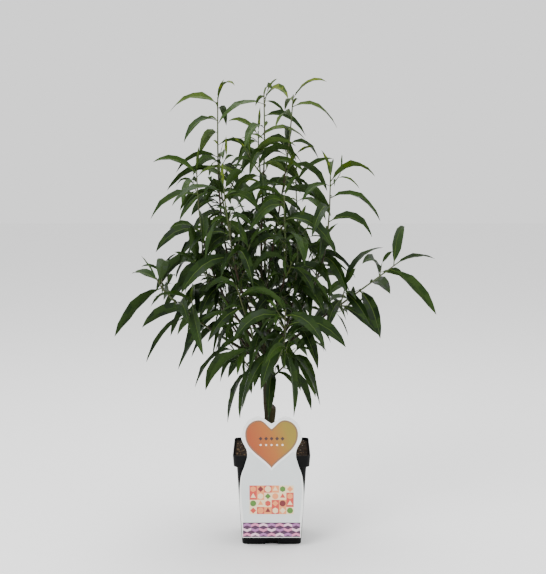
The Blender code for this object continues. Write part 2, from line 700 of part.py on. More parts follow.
def mass_tree(mass):
    """One search tree of everything in a mass."""
    bm = bmesh.new()
    for rings in [mass["stem"]] + mass["twigs"] + mass["leaves"]:
        part = loft(rings)
        mesh = bpy.data.meshes.new("part")
        part.to_mesh(mesh)
        part.free()
        bm.from_mesh(mesh)
        bpy.data.meshes.remove(mesh)
    return tree_of(bm)


def fuse_mass(shoot, mass, collection):
    """One solid from a stem with its side twigs and leaves, whose roots are sunk in the twigs."""
    sprigs = new_collection("sprigs")
    for rings in mass["twigs"] + mass["leaves"]:
        add_object("sprig", loft(rings), sprigs)
    solid = add_object("foliage_" + shoot.name, loft(mass["stem"]), collection)
    modifier = solid.modifiers.new("sprigs", "BOOLEAN")
    modifier.operation = "UNION"
    modifier.operand_type = "COLLECTION"
    modifier.collection = sprigs
    apply_modifiers(solid)
    for sprig in list(sprigs.objects):
        bpy.data.objects.remove(sprig, do_unlink=True)
    bpy.data.collections.remove(sprigs)
    height = ease(0.45, 1.0, shoot.top)
    paint(solid, LEAF_DARK.lerp(LEAF_LIGHT, height), LEAF_ROUGHNESS)
    return solid


def limb_obstacles(stems):
    """Search trees of every limb and stem, each with the name of the mass it belongs to."""
    limbs = [("", *stem_path(), 6)]
    limbs += [("", *bough_path(shoot), 6) for shoot in SHOOTS if shoot.bare > 0.0]
    for name, nodes in stems.items():
        limbs.append((name, nodes, taper(TWIG_RADIUS, TWIG_TIP_RADIUS, len(nodes)), 3))
    return [(name, tree_of(loft(rings_round(points, radii, sides)))) for name, points, radii, sides in limbs]


def build_tree(parts, cutters):
    trunk = build_trunk("trunk", 0.0, parts)
    paint(trunk, *BARK_BROWN)
    cutter = build_trunk("trunk_clearance", GAP, cutters)
    cutter.hide_render = True
    cutter.display_type = "WIRE"
    stems = {shoot.name: stem_nodes(shoot) for shoot in SHOOTS}
    obstacles = limb_obstacles(stems)
    for shoot in SHOOTS:
        if shoot.bare > 0.0:
            points, radii = bough_path(shoot)
            bough = tube("bough_" + shoot.name, points, radii, 1, parts)
            combine(bough, cutter, "DIFFERENCE", keep_other=True)
            keep_largest_body(bough)
            paint(bough, *SHOOT_OLIVE)
        mass = grow_mass(shoot, stems, obstacles)
        obstacles.append(("", mass_tree(mass)))
        solid = fuse_mass(shoot, mass, parts)
        if shoot.bare == 0.0 and shoot.height < TRUNK_TOP:
            combine(solid, cutter, "DIFFERENCE", keep_other=True)
        keep_largest_body(solid)
        print(shoot.name, "leaves", len(mass["leaves"]), "faces", len(solid.data.polygons))


def main():
    clear_scene()
    parts = new_collection("dwarf peach tree")
    cutters = new_collection("cutters")
    build_pot(parts)
    build_soil(parts)
    build_card(parts)
    build_tree(parts, cutters)


main()
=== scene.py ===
import math
import random

import bmesh
import bpy
import numpy as np
from mathutils import Matrix, Vector, noise
from mathutils.bvhtree import BVHTree


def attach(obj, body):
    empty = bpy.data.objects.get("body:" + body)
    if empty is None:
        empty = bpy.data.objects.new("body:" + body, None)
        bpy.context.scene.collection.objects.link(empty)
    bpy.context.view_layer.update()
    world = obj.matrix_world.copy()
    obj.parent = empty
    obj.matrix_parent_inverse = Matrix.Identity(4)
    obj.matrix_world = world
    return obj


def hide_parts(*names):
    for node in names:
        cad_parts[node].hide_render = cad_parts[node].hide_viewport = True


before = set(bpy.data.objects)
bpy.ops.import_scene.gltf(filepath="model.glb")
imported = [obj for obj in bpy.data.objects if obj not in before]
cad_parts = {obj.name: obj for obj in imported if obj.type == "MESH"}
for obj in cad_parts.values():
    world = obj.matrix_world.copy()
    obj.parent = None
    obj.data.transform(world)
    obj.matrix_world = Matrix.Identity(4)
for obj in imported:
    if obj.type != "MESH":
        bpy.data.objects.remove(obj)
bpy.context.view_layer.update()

up = Vector((0.0, 0.0, 1.0))


mergeReach = 0.000002


def newObject(name, mesh):
    obj = bpy.data.objects.new(name, mesh)
    bpy.context.scene.collection.objects.link(obj)
    return obj


def newPiece(name, bm, materials=()):
    mesh = bpy.data.meshes.new(name)
    bm.to_mesh(mesh)
    bm.free()
    for material in materials:
        mesh.materials.append(material)
    return newObject(name, mesh)


def skinOf(name, curve, place=Matrix.Identity(4)):
    # The curve's skin as a piece, with its doubles merged and its faces outward
    shape = newObject(name + "Path", curve)
    graph = bpy.context.evaluated_depsgraph_get()
    mesh = bpy.data.meshes.new_from_object(shape.evaluated_get(graph))
    bpy.data.objects.remove(shape, do_unlink=True)
    bm = bmesh.new()
    bm.from_mesh(mesh)
    bmesh.ops.remove_doubles(bm, verts=bm.verts, dist=mergeReach)
    bmesh.ops.transform(bm, matrix=place, verts=bm.verts)
    bmesh.ops.recalc_face_normals(bm, faces=bm.faces)
    bm.to_mesh(mesh)
    bm.free()
    mesh.name = name
    return newObject(name, mesh)


def shadeSmooth(mesh):
    mesh.polygons.foreach_set("use_smooth", [True] * len(mesh.polygons))
    mesh.update()


def box(bm, low, high):
    made = bmesh.ops.create_cube(bm, size=1.0)["verts"]
    for vert in made:
        vert.co = Vector([a + (b - a) * (c + 0.5) for a, b, c in zip(low, high, vert.co)])
    return made


def paint(verts, slot):
    for face in {face for vert in verts for face in vert.link_faces}:
        face.material_index = slot


def ease(low, high, value):
    # From 0 at low to 1 at high, slow at both ends
    share = min(1.0, max(0.0, (value - low) / (high - low)))
    return share * share * (3 - 2 * share)


# Shared surface effects

def newGroup(name, inputs, outputs):
    group = bpy.data.node_groups.new(name, "ShaderNodeTree")
    for label, kind, value in inputs:
        socket = group.interface.new_socket(label, in_out="INPUT", socket_type="NodeSocket" + kind)
        socket.default_value = value
    for label, kind in outputs:
        group.interface.new_socket(label, in_out="OUTPUT", socket_type="NodeSocket" + kind)
    return group, group.nodes.new("NodeGroupInput").outputs, group.nodes.new("NodeGroupOutput").inputs


def addNode(tree, kind, values=(), **settings):
    node = tree.nodes.new("ShaderNode" + kind)
    for label, value in settings.items():
        setattr(node, label, value)
    for label, value in dict(values).items():
        node.inputs[label].default_value = value
    return node


def wire(tree, *pairs):
    for source, target in pairs:
        tree.links.new(source, target)


def drawnNoise(group, given, detail):
    # Noise over the piece's own place, drawn out along its height by Stretch
    place = addNode(group, "TexCoord")
    squeeze = addNode(group, "CombineXYZ", {"X": 1.0, "Y": 1.0})
    scaled = addNode(group, "VectorMath", operation="MULTIPLY")
    pattern = addNode(group, "TexNoise", {"Detail": detail})
    wire(group, (given["Stretch"], squeeze.inputs["Z"]), (place.outputs["Object"], scaled.inputs[0]),
         (squeeze.outputs["Vector"], scaled.inputs[1]), (scaled.outputs["Vector"], pattern.inputs["Vector"]),
         (given["Scale"], pattern.inputs["Scale"]))
    return pattern.outputs["Fac"]


def addBump(group, given, height, result):
    bump = addNode(group, "Bump")
    wire(group, (height, bump.inputs["Height"]), (given["Strength"], bump.inputs["Strength"]),
         (given["Depth"], bump.inputs["Distance"]), (bump.outputs["Normal"], result["Normal"]))


def mottleGroup():
    inputs = (("Base", "Color", (0.5, 0.5, 0.5, 1)), ("Patch", "Color", (0.3, 0.3, 0.3, 1)),
              ("Scale", "Float", 40.0), ("Stretch", "Float", 1.0), ("Amount", "Float", 0.5))
    group, given, result = newGroup("mottle", inputs, (("Color", "Color"), ("Mask", "Float")))
    spread = addNode(group, "MapRange", {"From Min": 0.38, "From Max": 0.64})
    strength = addNode(group, "Math", operation="MULTIPLY")
    blend = addNode(group, "Mix", data_type="RGBA")
    wire(group, (drawnNoise(group, given, 5.0), spread.inputs["Value"]),
         (spread.outputs["Result"], strength.inputs[0]), (given["Amount"], strength.inputs[1]),
         (strength.outputs["Value"], blend.inputs["Factor"]), (given["Base"], blend.inputs["A"]),
         (given["Patch"], blend.inputs["B"]), (blend.outputs["Result"], result["Color"]),
         (strength.outputs["Value"], result["Mask"]))
    return group


def grainGroup():
    inputs = (("Scale", "Float", 300.0), ("Stretch", "Float", 1.0), ("Strength", "Float", 0.3),
              ("Depth", "Float", 0.001))
    group, given, result = newGroup("grain", inputs, (("Normal", "Vector"),))
    addBump(group, given, drawnNoise(group, given, 4.0), result)
    return group


veinShape = {"lead": -0.16, "sharpness": 5.0, "fade": 1.7}


def veinGroup():
    # Side veins run from the midrib out and forward; u crosses the blade and v runs down it
    inputs = (("Count", "Float", 15.0), ("Strength", "Float", 0.3), ("Depth", "Float", 0.0006))
    group, given, result = newGroup("veins", inputs, (("Mask", "Float"), ("Normal", "Vector")))
    place = addNode(group, "UVMap", uv_map="blade")
    parts = addNode(group, "SeparateXYZ")
    wire(group, (place.outputs["UV"], parts.inputs["Vector"]))

    def work(operation, *values):
        node = addNode(group, "Math", operation=operation)
        for socket, value in zip(node.inputs, values):
            if isinstance(value, float):
                socket.default_value = value
            else:
                group.links.new(value, socket)
        return node.outputs["Value"]

    side = work("ABSOLUTE", work("SUBTRACT", parts.outputs["X"], 0.5))
    lead = work("MULTIPLY", side, veinShape["lead"])
    along = work("MULTIPLY", work("ADD", parts.outputs["Y"], lead), given["Count"])
    wave = work("ABSOLUTE", work("SINE", work("MULTIPLY", along, math.pi)))
    ridge = work("POWER", work("SUBTRACT", 1.0, wave), veinShape["sharpness"])
    fade = work("SUBTRACT", 1.0, work("MULTIPLY", side, veinShape["fade"]))
    mask = work("MULTIPLY", ridge, fade)
    addBump(group, given, mask, result)
    wire(group, (mask, result["Mask"]))
    return group


mottle = mottleGroup()
grain = grainGroup()
veins = veinGroup()


def newMaterial(name, roughness, specular=0.5):
    material = bpy.data.materials.new(name)
    material.use_nodes = True
    shader = material.node_tree.nodes["Principled BSDF"].inputs
    shader["Roughness"].default_value = roughness
    shader["Specular IOR Level"].default_value = specular
    return material, material.node_tree, shader


def mottled(name, base, patch, roughness, scale, stretch=1.0, amount=0.6, bump=0.3, bumpScale=None,
            depth=0.001, specular=0.5):
    material, tree, shader = newMaterial(name, roughness, specular)
    colour = addNode(tree, "Group", {"Base": (*base, 1), "Patch": (*patch, 1), "Scale": scale,
                                     "Stretch": stretch, "Amount": amount}, node_tree=mottle)
    relief = addNode(tree, "Group", {"Scale": bumpScale or scale * 4, "Stretch": stretch,
                                     "Strength": bump, "Depth": depth}, node_tree=grain)
    wire(tree, (colour.outputs["Color"], shader["Base Color"]), (relief.outputs["Normal"], shader["Normal"]))
    return material


def bladeMaterial(name, base, vein, roughness, specular, strength):
    # One plain tone of leaf, with faint veins
    material, tree, shader = newMaterial(name, roughness, specular)
    lines = addNode(tree, "Group", {"Count": 15.0, "Strength": strength, "Depth": 0.0006}, node_tree=veins)
    blend = addNode(tree, "Mix", {"A": (*base, 1), "B": (*vein, 1)}, data_type="RGBA")
    wire(tree, (lines.outputs["Mask"], blend.inputs["Factor"]),
         (blend.outputs["Result"], shader["Base Color"]), (lines.outputs["Normal"], shader["Normal"]))
    return material


print("surface effects made")

# Growth: the same rule that shaped the solids, so leaves stand where the solids have them

growth = {
    "trunkFootX": -0.008, "trunkLean": -0.014, "trunkSway": 0.004, "trunkTop": 0.600, "trunkEnd": 0.004,
    "hiddenSteps": 3, "stemSteps": 10, "flareBend": 0.3, "flareShares": (0.84, 1.03),
    "plainHeights": (0.245, 0.266),
    "soilLevel": 0.196, "gap": 0.0003,
    "flareRadius": 0.0170, "flareHeight": 0.022, "rootstockRadius": 0.0118,
    "graftHeight": 0.284, "graftRadius": 0.0130, "stubLean": 0.006, "stubTop": 0.297, "stubCutTilt": 24.0,
    "stubSpare": 0.010, "stemStart": 0.252, "stemClear": 0.310, "stemRadius": 0.0068, "stemTipRadius": 0.0034,
    "boughRadius": 0.0042, "boughTipRadius": 0.0029, "boughShare": 0.85, "boughSteps": 6, "boughEnd": 0.006,
    "tipStep": 0.010, "twigRadius": 0.0027, "twigTipRadius": 0.0017, "sideTwigRadius": 0.0021,
    "sideTwigNodes": 3, "sideTwigSpacing": 0.021, "sideTwigLift": 0.006, "shootSway": 0.006,
    "nodeSpacing": 0.026, "pathSteps": 200, "ringGuide": Vector((0.31, 0.95, 0.02)),
    "leafSteps": 12, "leafRings": ((4, 0.97), (8, 0.84)), "leafAspect": 0.098, "leafRootAspect": 0.008,
    "leafThickness": 0.012, "leafTurn": 137.5, "leafTries": 10,
    "tipLeaves": ((0.016, 2.6), (0.009, 1.6), (0.002, 0.0)), "turnSpread": 0.2, "lateShrink": 0.8,
    "clearance": 0.0008, "spaceMargin": 0.055,
    "lengthByAge": (0.40, 0.22, 2.73), "setByAge": (14.0, 15.0, 3.5), "droopByAge": (0.30, 0.36, 3.0),
    "hangByAge": (0.00, 0.167, 6.0), "lengthSpread": (0.88, 1.06), "setSpread": 8.6,
    "droopSpread": (-0.25, 0.35), "sickle": 0.35, "roll": (0.35, 1.15),
    "sharpest": 0.2, "edgeways": 0.8, "steep": 0.15,
    "crownLow": Vector((-0.342, -0.270, 0.240)), "crownHigh": Vector((0.373, 0.290, 1.014)),
}
shootKeys = "name height heading spread top flare bare leaf hang twigs seed".split()
shoots = [dict(zip(shootKeys, row)) for row in (
    ("leader", 0.600, 20, 0.006, 0.985, 1.0, 0.00, 0.135, 0.2, 2, 10),
    ("left_top", 0.440, 175, 0.100, 0.975, 3.8, 0.14, 0.135, 0.3, 2, 2),
    ("right_top", 0.500, 24, 0.072, 0.980, 1.1, 0.12, 0.140, 0.3, 2, 14),
    ("right_arm", 0.400, 354, 0.294, 0.622, 1.0, 0.34, 0.140, -0.3, 1, 13),
    ("left_arm", 0.395, 190, 0.238, 0.588, 1.4, 0.36, 0.150, -0.1, 1, 3),
    ("right_mid", 0.420, 352, 0.144, 0.810, 3.0, 0.18, 0.140, 0.5, 1, 10),
    ("left_mid", 0.420, 192, 0.148, 0.820, 2.5, 0.18, 0.140, 0.7, 1, 12),
    ("front_young", 0.385, 247, 0.152, 0.585, 1.6, 0.30, 0.110, 0.3, 1, 7),
    ("front_right", 0.450, 292, 0.116, 0.770, 2.5, 0.16, 0.140, 1.0, 1, 19),
    ("front_left", 0.470, 233, 0.137, 0.790, 2.6, 0.16, 0.140, 1.0, 1, 20),
    ("back", 0.465, 97, 0.100, 0.900, 2.2, 0.14, 0.135, 0.8, 1, 21),
    ("back_left", 0.484, 128, 0.160, 0.840, 2.4, 0.16, 0.140, 0.9, 1, 22),
    ("back_right", 0.430, 62, 0.150, 0.790, 2.3, 0.16, 0.140, 0.9, 1, 23),
    ("left_low", 0.375, 160, 0.150, 0.670, 2.0, 0.20, 0.145, 1.2, 1, 24),
    ("right_low", 0.380, 320, 0.095, 0.700, 2.2, 0.20, 0.145, 1.2, 1, 25),
    ("back_arm_left", 0.365, 130, 0.230, 0.590, 1.3, 0.30, 0.140, 0.8, 1, 26),
    ("back_arm_right", 0.375, 60, 0.220, 0.610, 1.2, 0.30, 0.140, 0.8, 1, 27),
    ("front_arm", 0.360, 283, 0.190, 0.540, 1.5, 0.30, 0.145, 1.0, 1, 28),
    ("spur_low_left", 0.350, 204, 0.085, 0.440, 1.2, 0.00, 0.140, 2.2, 0, 31),
    ("spur_low_right", 0.345, 345, 0.070, 0.425, 1.2, 0.00, 0.140, 2.2, 0, 32),
    ("spur_low_back", 0.355, 85, 0.090, 0.430, 1.2, 0.00, 0.140, 2.2, 0, 33),
    ("spur_low_front", 0.372, 250, 0.095, 0.445, 1.2, 0.00, 0.140, 2.2, 0, 34),
    ("spur_mid_front", 0.430, 275, 0.090, 0.520, 1.2, 0.00, 0.140, 2.0, 0, 39),
    ("spur_mid_back", 0.445, 85, 0.075, 0.525, 1.2, 0.00, 0.140, 2.0, 0, 40),
    ("spur_mid_right", 0.480, 335, 0.060, 0.560, 1.2, 0.00, 0.140, 1.8, 0, 35),
    ("spur_mid_left", 0.500, 205, 0.060, 0.570, 1.2, 0.00, 0.140, 1.8, 0, 36),
    ("spur_high_front", 0.550, 275, 0.055, 0.630, 1.2, 0.00, 0.140, 1.5, 0, 37),
    ("spur_high_back", 0.565, 140, 0.055, 0.650, 1.2, 0.00, 0.140, 1.5, 0, 38),
)]
limbed = [shoot for shoot in shoots if shoot["bare"] > 0.0]


def byAge(rule, age):
    newest, gain, fullAge = rule
    return newest + gain * min(age, fullAge)


def taper(low, high, count):
    return [low + (high - low) * i / (count - 1) for i in range(count)]


def trunkPoint(z):
    g = growth
    climb = (z - g["soilLevel"]) / (g["trunkTop"] - g["soilLevel"])
    free = ease(g["stemStart"], g["stemClear"], z)
    return Vector((g["trunkFootX"] + g["trunkLean"] * climb * free,
                   g["trunkSway"] * math.sin(2 * math.pi * climb) * free, z))


def trunkRadius(z):
    share = (z - growth["stemClear"]) / (growth["trunkTop"] - growth["stemClear"])
    return growth["stemRadius"] + (growth["stemTipRadius"] - growth["stemRadius"]) * max(0.0, share)


def stemPath():
    g = growth
    low, clear, top = g["stemStart"], g["stemClear"], g["trunkTop"]
    heights = [low + (clear - low) * i / g["hiddenSteps"] for i in range(g["hiddenSteps"])]
    heights += [clear + (top - clear) * i / g["stemSteps"] for i in range(g["stemSteps"])]
    heights += [top - g["trunkEnd"], top]
    return [trunkPoint(z) for z in heights], [trunkRadius(z) for z in heights]


def rootstockPath():
    g = growth
    foot = g["soilLevel"] + g["gap"]
    low = foot + g["flareHeight"] * g["flareBend"]
    bend, end = g["flareShares"]
    steps = [(foot, g["flareRadius"]), (low, g["flareRadius"] * bend)]
    steps += [(foot + g["flareHeight"], g["rootstockRadius"] * end)]
    steps += [(z, g["rootstockRadius"]) for z in g["plainHeights"]]
    steps += [(g["graftHeight"], g["graftRadius"]), (g["stubTop"] + g["stubSpare"], g["rootstockRadius"])]
    points = [Vector((g["trunkFootX"] + g["stubLean"] * max(0.0, z - low) / (g["stubTop"] - foot), 0.0, z))
              for z, radius in steps]
    return points, [radius for z, radius in steps]


def shootPoint(shoot, share):
    heading = math.radians(shoot["heading"])
    out = Vector((math.cos(heading), math.sin(heading), 0.0))
    reach = shoot["spread"] * (1 - (1 - share) ** shoot["flare"])
    sway = growth["shootSway"] * (math.sin(2 * math.pi * share + heading) - math.sin(heading))
    rise = (shoot["top"] - shoot["height"]) * share
    return trunkPoint(shoot["height"]) + out * reach + up.cross(out) * sway + up * rise


def walk(shoot, start, end, spacing):
    steps = growth["pathSteps"]
    fine = [shootPoint(shoot, start + (end - start) * i / steps) for i in range(steps + 1)]
    gone = [0.0]
    for a, b in zip(fine, fine[1:]):
        gone.append(gone[-1] + (b - a).length)
    count = max(2, round(gone[-1] / spacing))
    points = []
    step = 0
    for k in range(count + 1):
        want = gone[-1] * k / count
        while step < steps - 1 and gone[step + 1] < want:
            step += 1
        points.append(fine[step].lerp(fine[step + 1], (want - gone[step]) / (gone[step + 1] - gone[step])))
    return points


def boughPath(shoot):
    steps = growth["boughSteps"]
    points = [shootPoint(shoot, shoot["bare"] * i / steps) for i in range(steps + 1)]
    along = shootPoint(shoot, shoot["bare"] + growth["tipStep"]) - points[-1]
    points[-2] = points[-1] - along.normalized() * growth["boughEnd"]
    base = min(growth["boughRadius"], trunkRadius(shoot["height"]) * growth["boughShare"])
    return points, taper(base, growth["boughTipRadius"], len(points))


def stemNodes(shoot):
    nodes = walk(shoot, shoot["bare"], 1.0, growth["nodeSpacing"])
    for i in range(1, len(nodes) - 1, 2):
        nodes[i] = (nodes[i - 1] + nodes[i + 1]) / 2
    if shoot["height"] == growth["trunkTop"] or shoot["bare"] > 0.0:
        nodes[0] = nodes[0] + (nodes[1] - nodes[0]).normalized() * growth["gap"]
    return nodes


def ringsRound(points, radii, sides, start=None):
    turns = [2 * math.pi * k / sides for k in range(sides)]
    rings = []
    for i, (point, radius) in enumerate(zip(points, radii)):
        before, after = points[max(i - 1, 0)], points[min(i + 1, len(points) - 1)]
        along = start if i == 0 and start else (after - before).normalized()
        guide = growth["ringGuide"]
        guide = guide if abs(along.dot(guide)) < 0.9 else Vector((1.0, 0.0, 0.0))
        first = along.cross(guide).normalized() * radius
        second = along.cross(first)
        rings.append([point + first * math.cos(t) + second * math.sin(t) for t in turns])
    return rings


def loftInto(bm, rings):
    loops = [[bm.verts.new(point) for point in ring] for ring in rings]
    bm.faces.new(loops[0])
    for low, high in zip(loops, loops[1:]):
        for i in range(len(low)):
            j = (i + 1) % len(low)
            corners = (low[i], low[j], high[0]) if len(high) == 1 else (low[i], low[j], high[j], high[i])
            bm.faces.new(corners)
    if len(loops[-1]) > 1:
        bm.faces.new(loops[-1])


def loftTree(*skins):
    # A search tree of the skins through rings of points, for telling whether two shapes touch
    bm = bmesh.new()
    for rings in skins:
        loftInto(bm, rings)
    bmesh.ops.triangulate(bm, faces=bm.faces)
    found = BVHTree.FromBMesh(bm)
    bm.free()
    return found


def touches(rings, obstacles):
    own = loftTree(rings)
    return any(own.overlap(other) for other in obstacles)


def leafMidrib(root, along, out, shape):
    steps = growth["leafSteps"]
    start = along * math.cos(shape["angle"]) + out * math.sin(shape["angle"])
    flat = Vector((start.x, start.y, 0.0))
    if flat.length < growth["steep"]:
        flat = Vector((out.x, out.y, 0.0))
    side = up.cross(flat).normalized()
    points = [root.copy()]
    downs = []
    for k in range(steps + 1):
        share = k / steps
        downs.append((start - up * shape["droop"] * share + side * shape["sickle"] * share).normalized())
        points.append(points[-1] + downs[-1] * shape["length"] / steps)
    chord = (points[steps] - root).normalized()
    return points[:-1], downs, Matrix.Rotation(shape["roll"], 3, chord) @ side


def leafRings(midrib, length, extra=0.0):
    points, downs, across = midrib
    stations = [(0, growth["leafRootAspect"])]
    stations += [(k, growth["leafAspect"] * share) for k, share in growth["leafRings"]]
    thick = length * growth["leafThickness"]
    rings = []
    for k, aspect in stations:
        face = downs[k].cross(across).normalized()
        edge = across * (length * aspect + 2 * extra)
        upper = points[k] + face * (thick / 3 + extra)
        rings.append([upper - edge, upper + edge, points[k] - face * (thick * 2 / 3 + 2 * extra)])
    rings.append([points[-1] + downs[-1] * extra])
    return rings


def leafShape(age, full, hang, draw):
    g = growth
    droop = byAge(g["droopByAge"], age) + hang * byAge(g["hangByAge"], age)
    return {
        "length": full * byAge(g["lengthByAge"], age) * draw.uniform(*g["lengthSpread"]),
        "angle": math.radians(byAge(g["setByAge"], age) + draw.uniform(-g["setSpread"], g["setSpread"])),
        "droop": droop + draw.uniform(*g["droopSpread"]),
        "sickle": draw.uniform(-g["sickle"], g["sickle"]),
        "roll": draw.choice((-1, 1)) * draw.uniform(*g["roll"]),
    }


def folds(midrib):
    downs, across = midrib[1:]
    rings = [0] + [k for k, share in growth["leafRings"]] + [growth["leafSteps"]]
    agreement = min(downs[a].dot(downs[b]) for a, b in zip(rings, rings[1:]))
    return agreement < growth["sharpest"] or max(abs(down.dot(across)) for down in downs) > growth["edgeways"]


def inOwnSpace(points, own, others):
    for point in points:
        if any(not a < c < b for a, c, b in zip(growth["crownLow"], point, growth["crownHigh"])):
            return False
        near = min((point - node).length for node in own)
        if any((point - node).length < near - growth["spaceMargin"] for node in others):
            return False
    return True


def growLeaf(mass, root, along, turn, age, draw, kind="large", full=None):
    first = up.cross(along).normalized()
    for attempt in range(growth["leafTries"]):
        aim = turn + draw.uniform(-growth["turnSpread"], growth["turnSpread"]) * (1 + attempt)
        out = Matrix.Rotation(aim, 3, along) @ first
        shape = leafShape(age, full or mass["leaf"], mass["hang"], draw)
        if attempt > growth["leafTries"] / 2:
            shape["length"] *= growth["lateShrink"]
        midrib = leafMidrib(root, along, out, shape)
        if folds(midrib) or not inOwnSpace(midrib[0][::3], mass["nodes"], mass["others"]):
            continue
        rings = leafRings(midrib, shape["length"], growth["clearance"])
        if touches(rings, mass["obstacles"]) or touches(rings[1:], mass["blades"]):
            continue
        solid = leafRings(midrib, shape["length"])
        mass["blades"].append(loftTree(solid[1:]))
        mass["leaves"].append({"midrib": midrib, "length": shape["length"], "age": age, "kind": kind,
                               "rings": solid, "height": root.z})
        return


def growLeaves(mass, nodes, turn, draw):
    last = len(nodes) - 1
    for i in range(1, last):
        along = (nodes[i + 1] - nodes[i - 1]).normalized()
        turn += math.radians(growth["leafTurn"])
        growLeaf(mass, nodes[i], along, turn, last - i + growth["tipLeaves"][0][1], draw)
    along = (nodes[last] - nodes[last - 1]).normalized()
    for below, age in growth["tipLeaves"]:
        turn += math.radians(growth["leafTurn"])
        growLeaf(mass, nodes[last] - along * below, along, turn, age, draw)


def sideTwig(mass, root, along, draw, size=1.0):
    g = growth
    spacing = g["sideTwigSpacing"] * size
    first = along.orthogonal().normalized()
    for attempt in range(g["leafTries"]):
        out = Matrix.Rotation(draw.uniform(0, 2 * math.pi), 3, along) @ first
        step = (along + out).normalized() * spacing
        nodes = [root]
        for k in range(g["sideTwigNodes"]):
            nodes.append(nodes[-1] + (step + up * g["sideTwigLift"] * size * k).normalized() * spacing)
        radii = taper(g["sideTwigRadius"] * size, g["twigTipRadius"] * size, len(nodes))
        if not inOwnSpace(nodes, mass["nodes"], mass["others"]):
            continue
        if touches(ringsRound(nodes, [r + g["clearance"] for r in radii], 3), mass["obstacles"]):
            continue
        return nodes
    return None


def growMass(shoot, stems, obstacles):
    g = growth
    draw = random.Random(shoot["seed"])
    nodes = stems[shoot["name"]]
    along = shootPoint(shoot, shoot["bare"] + g["tipStep"]) - shootPoint(shoot, shoot["bare"])
    bends = nodes[:-1:2] + nodes[-1:]
    radii = taper(g["twigRadius"], g["twigTipRadius"], len(bends))
    mass = {
        "name": shoot["name"], "leaf": shoot["leaf"], "hang": shoot["hang"], "nodes": nodes,
        "others": [node for name, points in stems.items() if name != shoot["name"] for node in points],
        "obstacles": [tree for name, tree in obstacles if name != shoot["name"]],
        "stem": ringsRound(bends, radii, 3, along.normalized()),
        "twigs": [], "fineTwigs": [], "leaves": [], "blades": [],
    }
    for k in range(shoot["twigs"]):
        place = round((len(nodes) - 1) * (k + 1) / (shoot["twigs"] + 2))
        twig = sideTwig(mass, nodes[place], (nodes[place + 1] - nodes[place]).normalized(), draw)
        if twig:
            mass["twigs"].append(twig)
    growLeaves(mass, nodes, draw.uniform(0, 2 * math.pi), draw)
    for twig in mass["twigs"]:
        growLeaves(mass, twig, draw.uniform(0, 2 * math.pi), draw)
    return mass


finer = {
    "twigShare": 0.34, "twigSize": (0.45, 0.75), "twigLeaf": 0.062, "tipAge": 0.5,
    "smallShare": 0.75, "smallLeaf": (0.022, 0.050), "smallAge": 2.0, "seed": 900,
}


def growFiner(mass, obstacles):
    # Beyond the solids: short twigs with small leaves, and small leaves beside the large ones
    draw = random.Random(finer["seed"] + len(obstacles))
    mass["obstacles"] = [tree for name, tree in obstacles if name != mass["name"]]
    nodes = mass["nodes"]
    last = len(nodes) - 1
    for i in range(1, last):
        along = (nodes[i + 1] - nodes[i - 1]).normalized()
        if draw.random() < finer["twigShare"]:
            size = draw.uniform(*finer["twigSize"])
            twig = sideTwig(mass, nodes[i], along, draw, size)
            if twig:
                mass["fineTwigs"].append(twig)
                turn = draw.uniform(0, 2 * math.pi)
                for k in range(1, len(twig)):
                    turn += math.radians(growth["leafTurn"])
                    along = (twig[k] - twig[k - 1]).normalized()
                    age = len(twig) - k + finer["tipAge"]
                    growLeaf(mass, twig[k], along, turn, age, draw, "small", finer["twigLeaf"])
        if draw.random() < finer["smallShare"]:
            full = draw.uniform(*finer["smallLeaf"]) / byAge(growth["lengthByAge"], finer["smallAge"])
            turn = draw.uniform(0, 2 * math.pi)
            growLeaf(mass, nodes[i], along, turn, finer["smallAge"], draw, "small", full)


def growTree():
    g = growth
    stems = {shoot["name"]: stemNodes(shoot) for shoot in shoots}
    limbs = [("", *stemPath(), 6)] + [("", *boughPath(shoot), 6) for shoot in limbed]
    for name, nodes in stems.items():
        limbs.append((name, nodes, taper(g["twigRadius"], g["twigTipRadius"], len(nodes)), 3))
    obstacles = [(name, loftTree(ringsRound(points, radii, sides))) for name, points, radii, sides in limbs]
    masses = []
    for shoot in shoots:
        mass = growMass(shoot, stems, obstacles)
        sideRings = [ringsRound(twig, taper(g["sideTwigRadius"], g["twigTipRadius"], len(twig)), 3)
                     for twig in mass["twigs"]]
        skins = [mass["stem"]] + sideRings + [leaf["rings"] for leaf in mass["leaves"]]
        obstacles.append((shoot["name"], loftTree(*skins)))
        masses.append(mass)
    for mass in masses:
        growFiner(mass, obstacles)
        obstacles.append((mass["name"], loftTree(*[leaf["rings"] for leaf in mass["leaves"]])))
    return masses


masses = growTree()
print("crown grown:", len(masses), "masses")

# Leaves: thin closed shells, folded along a pale midrib

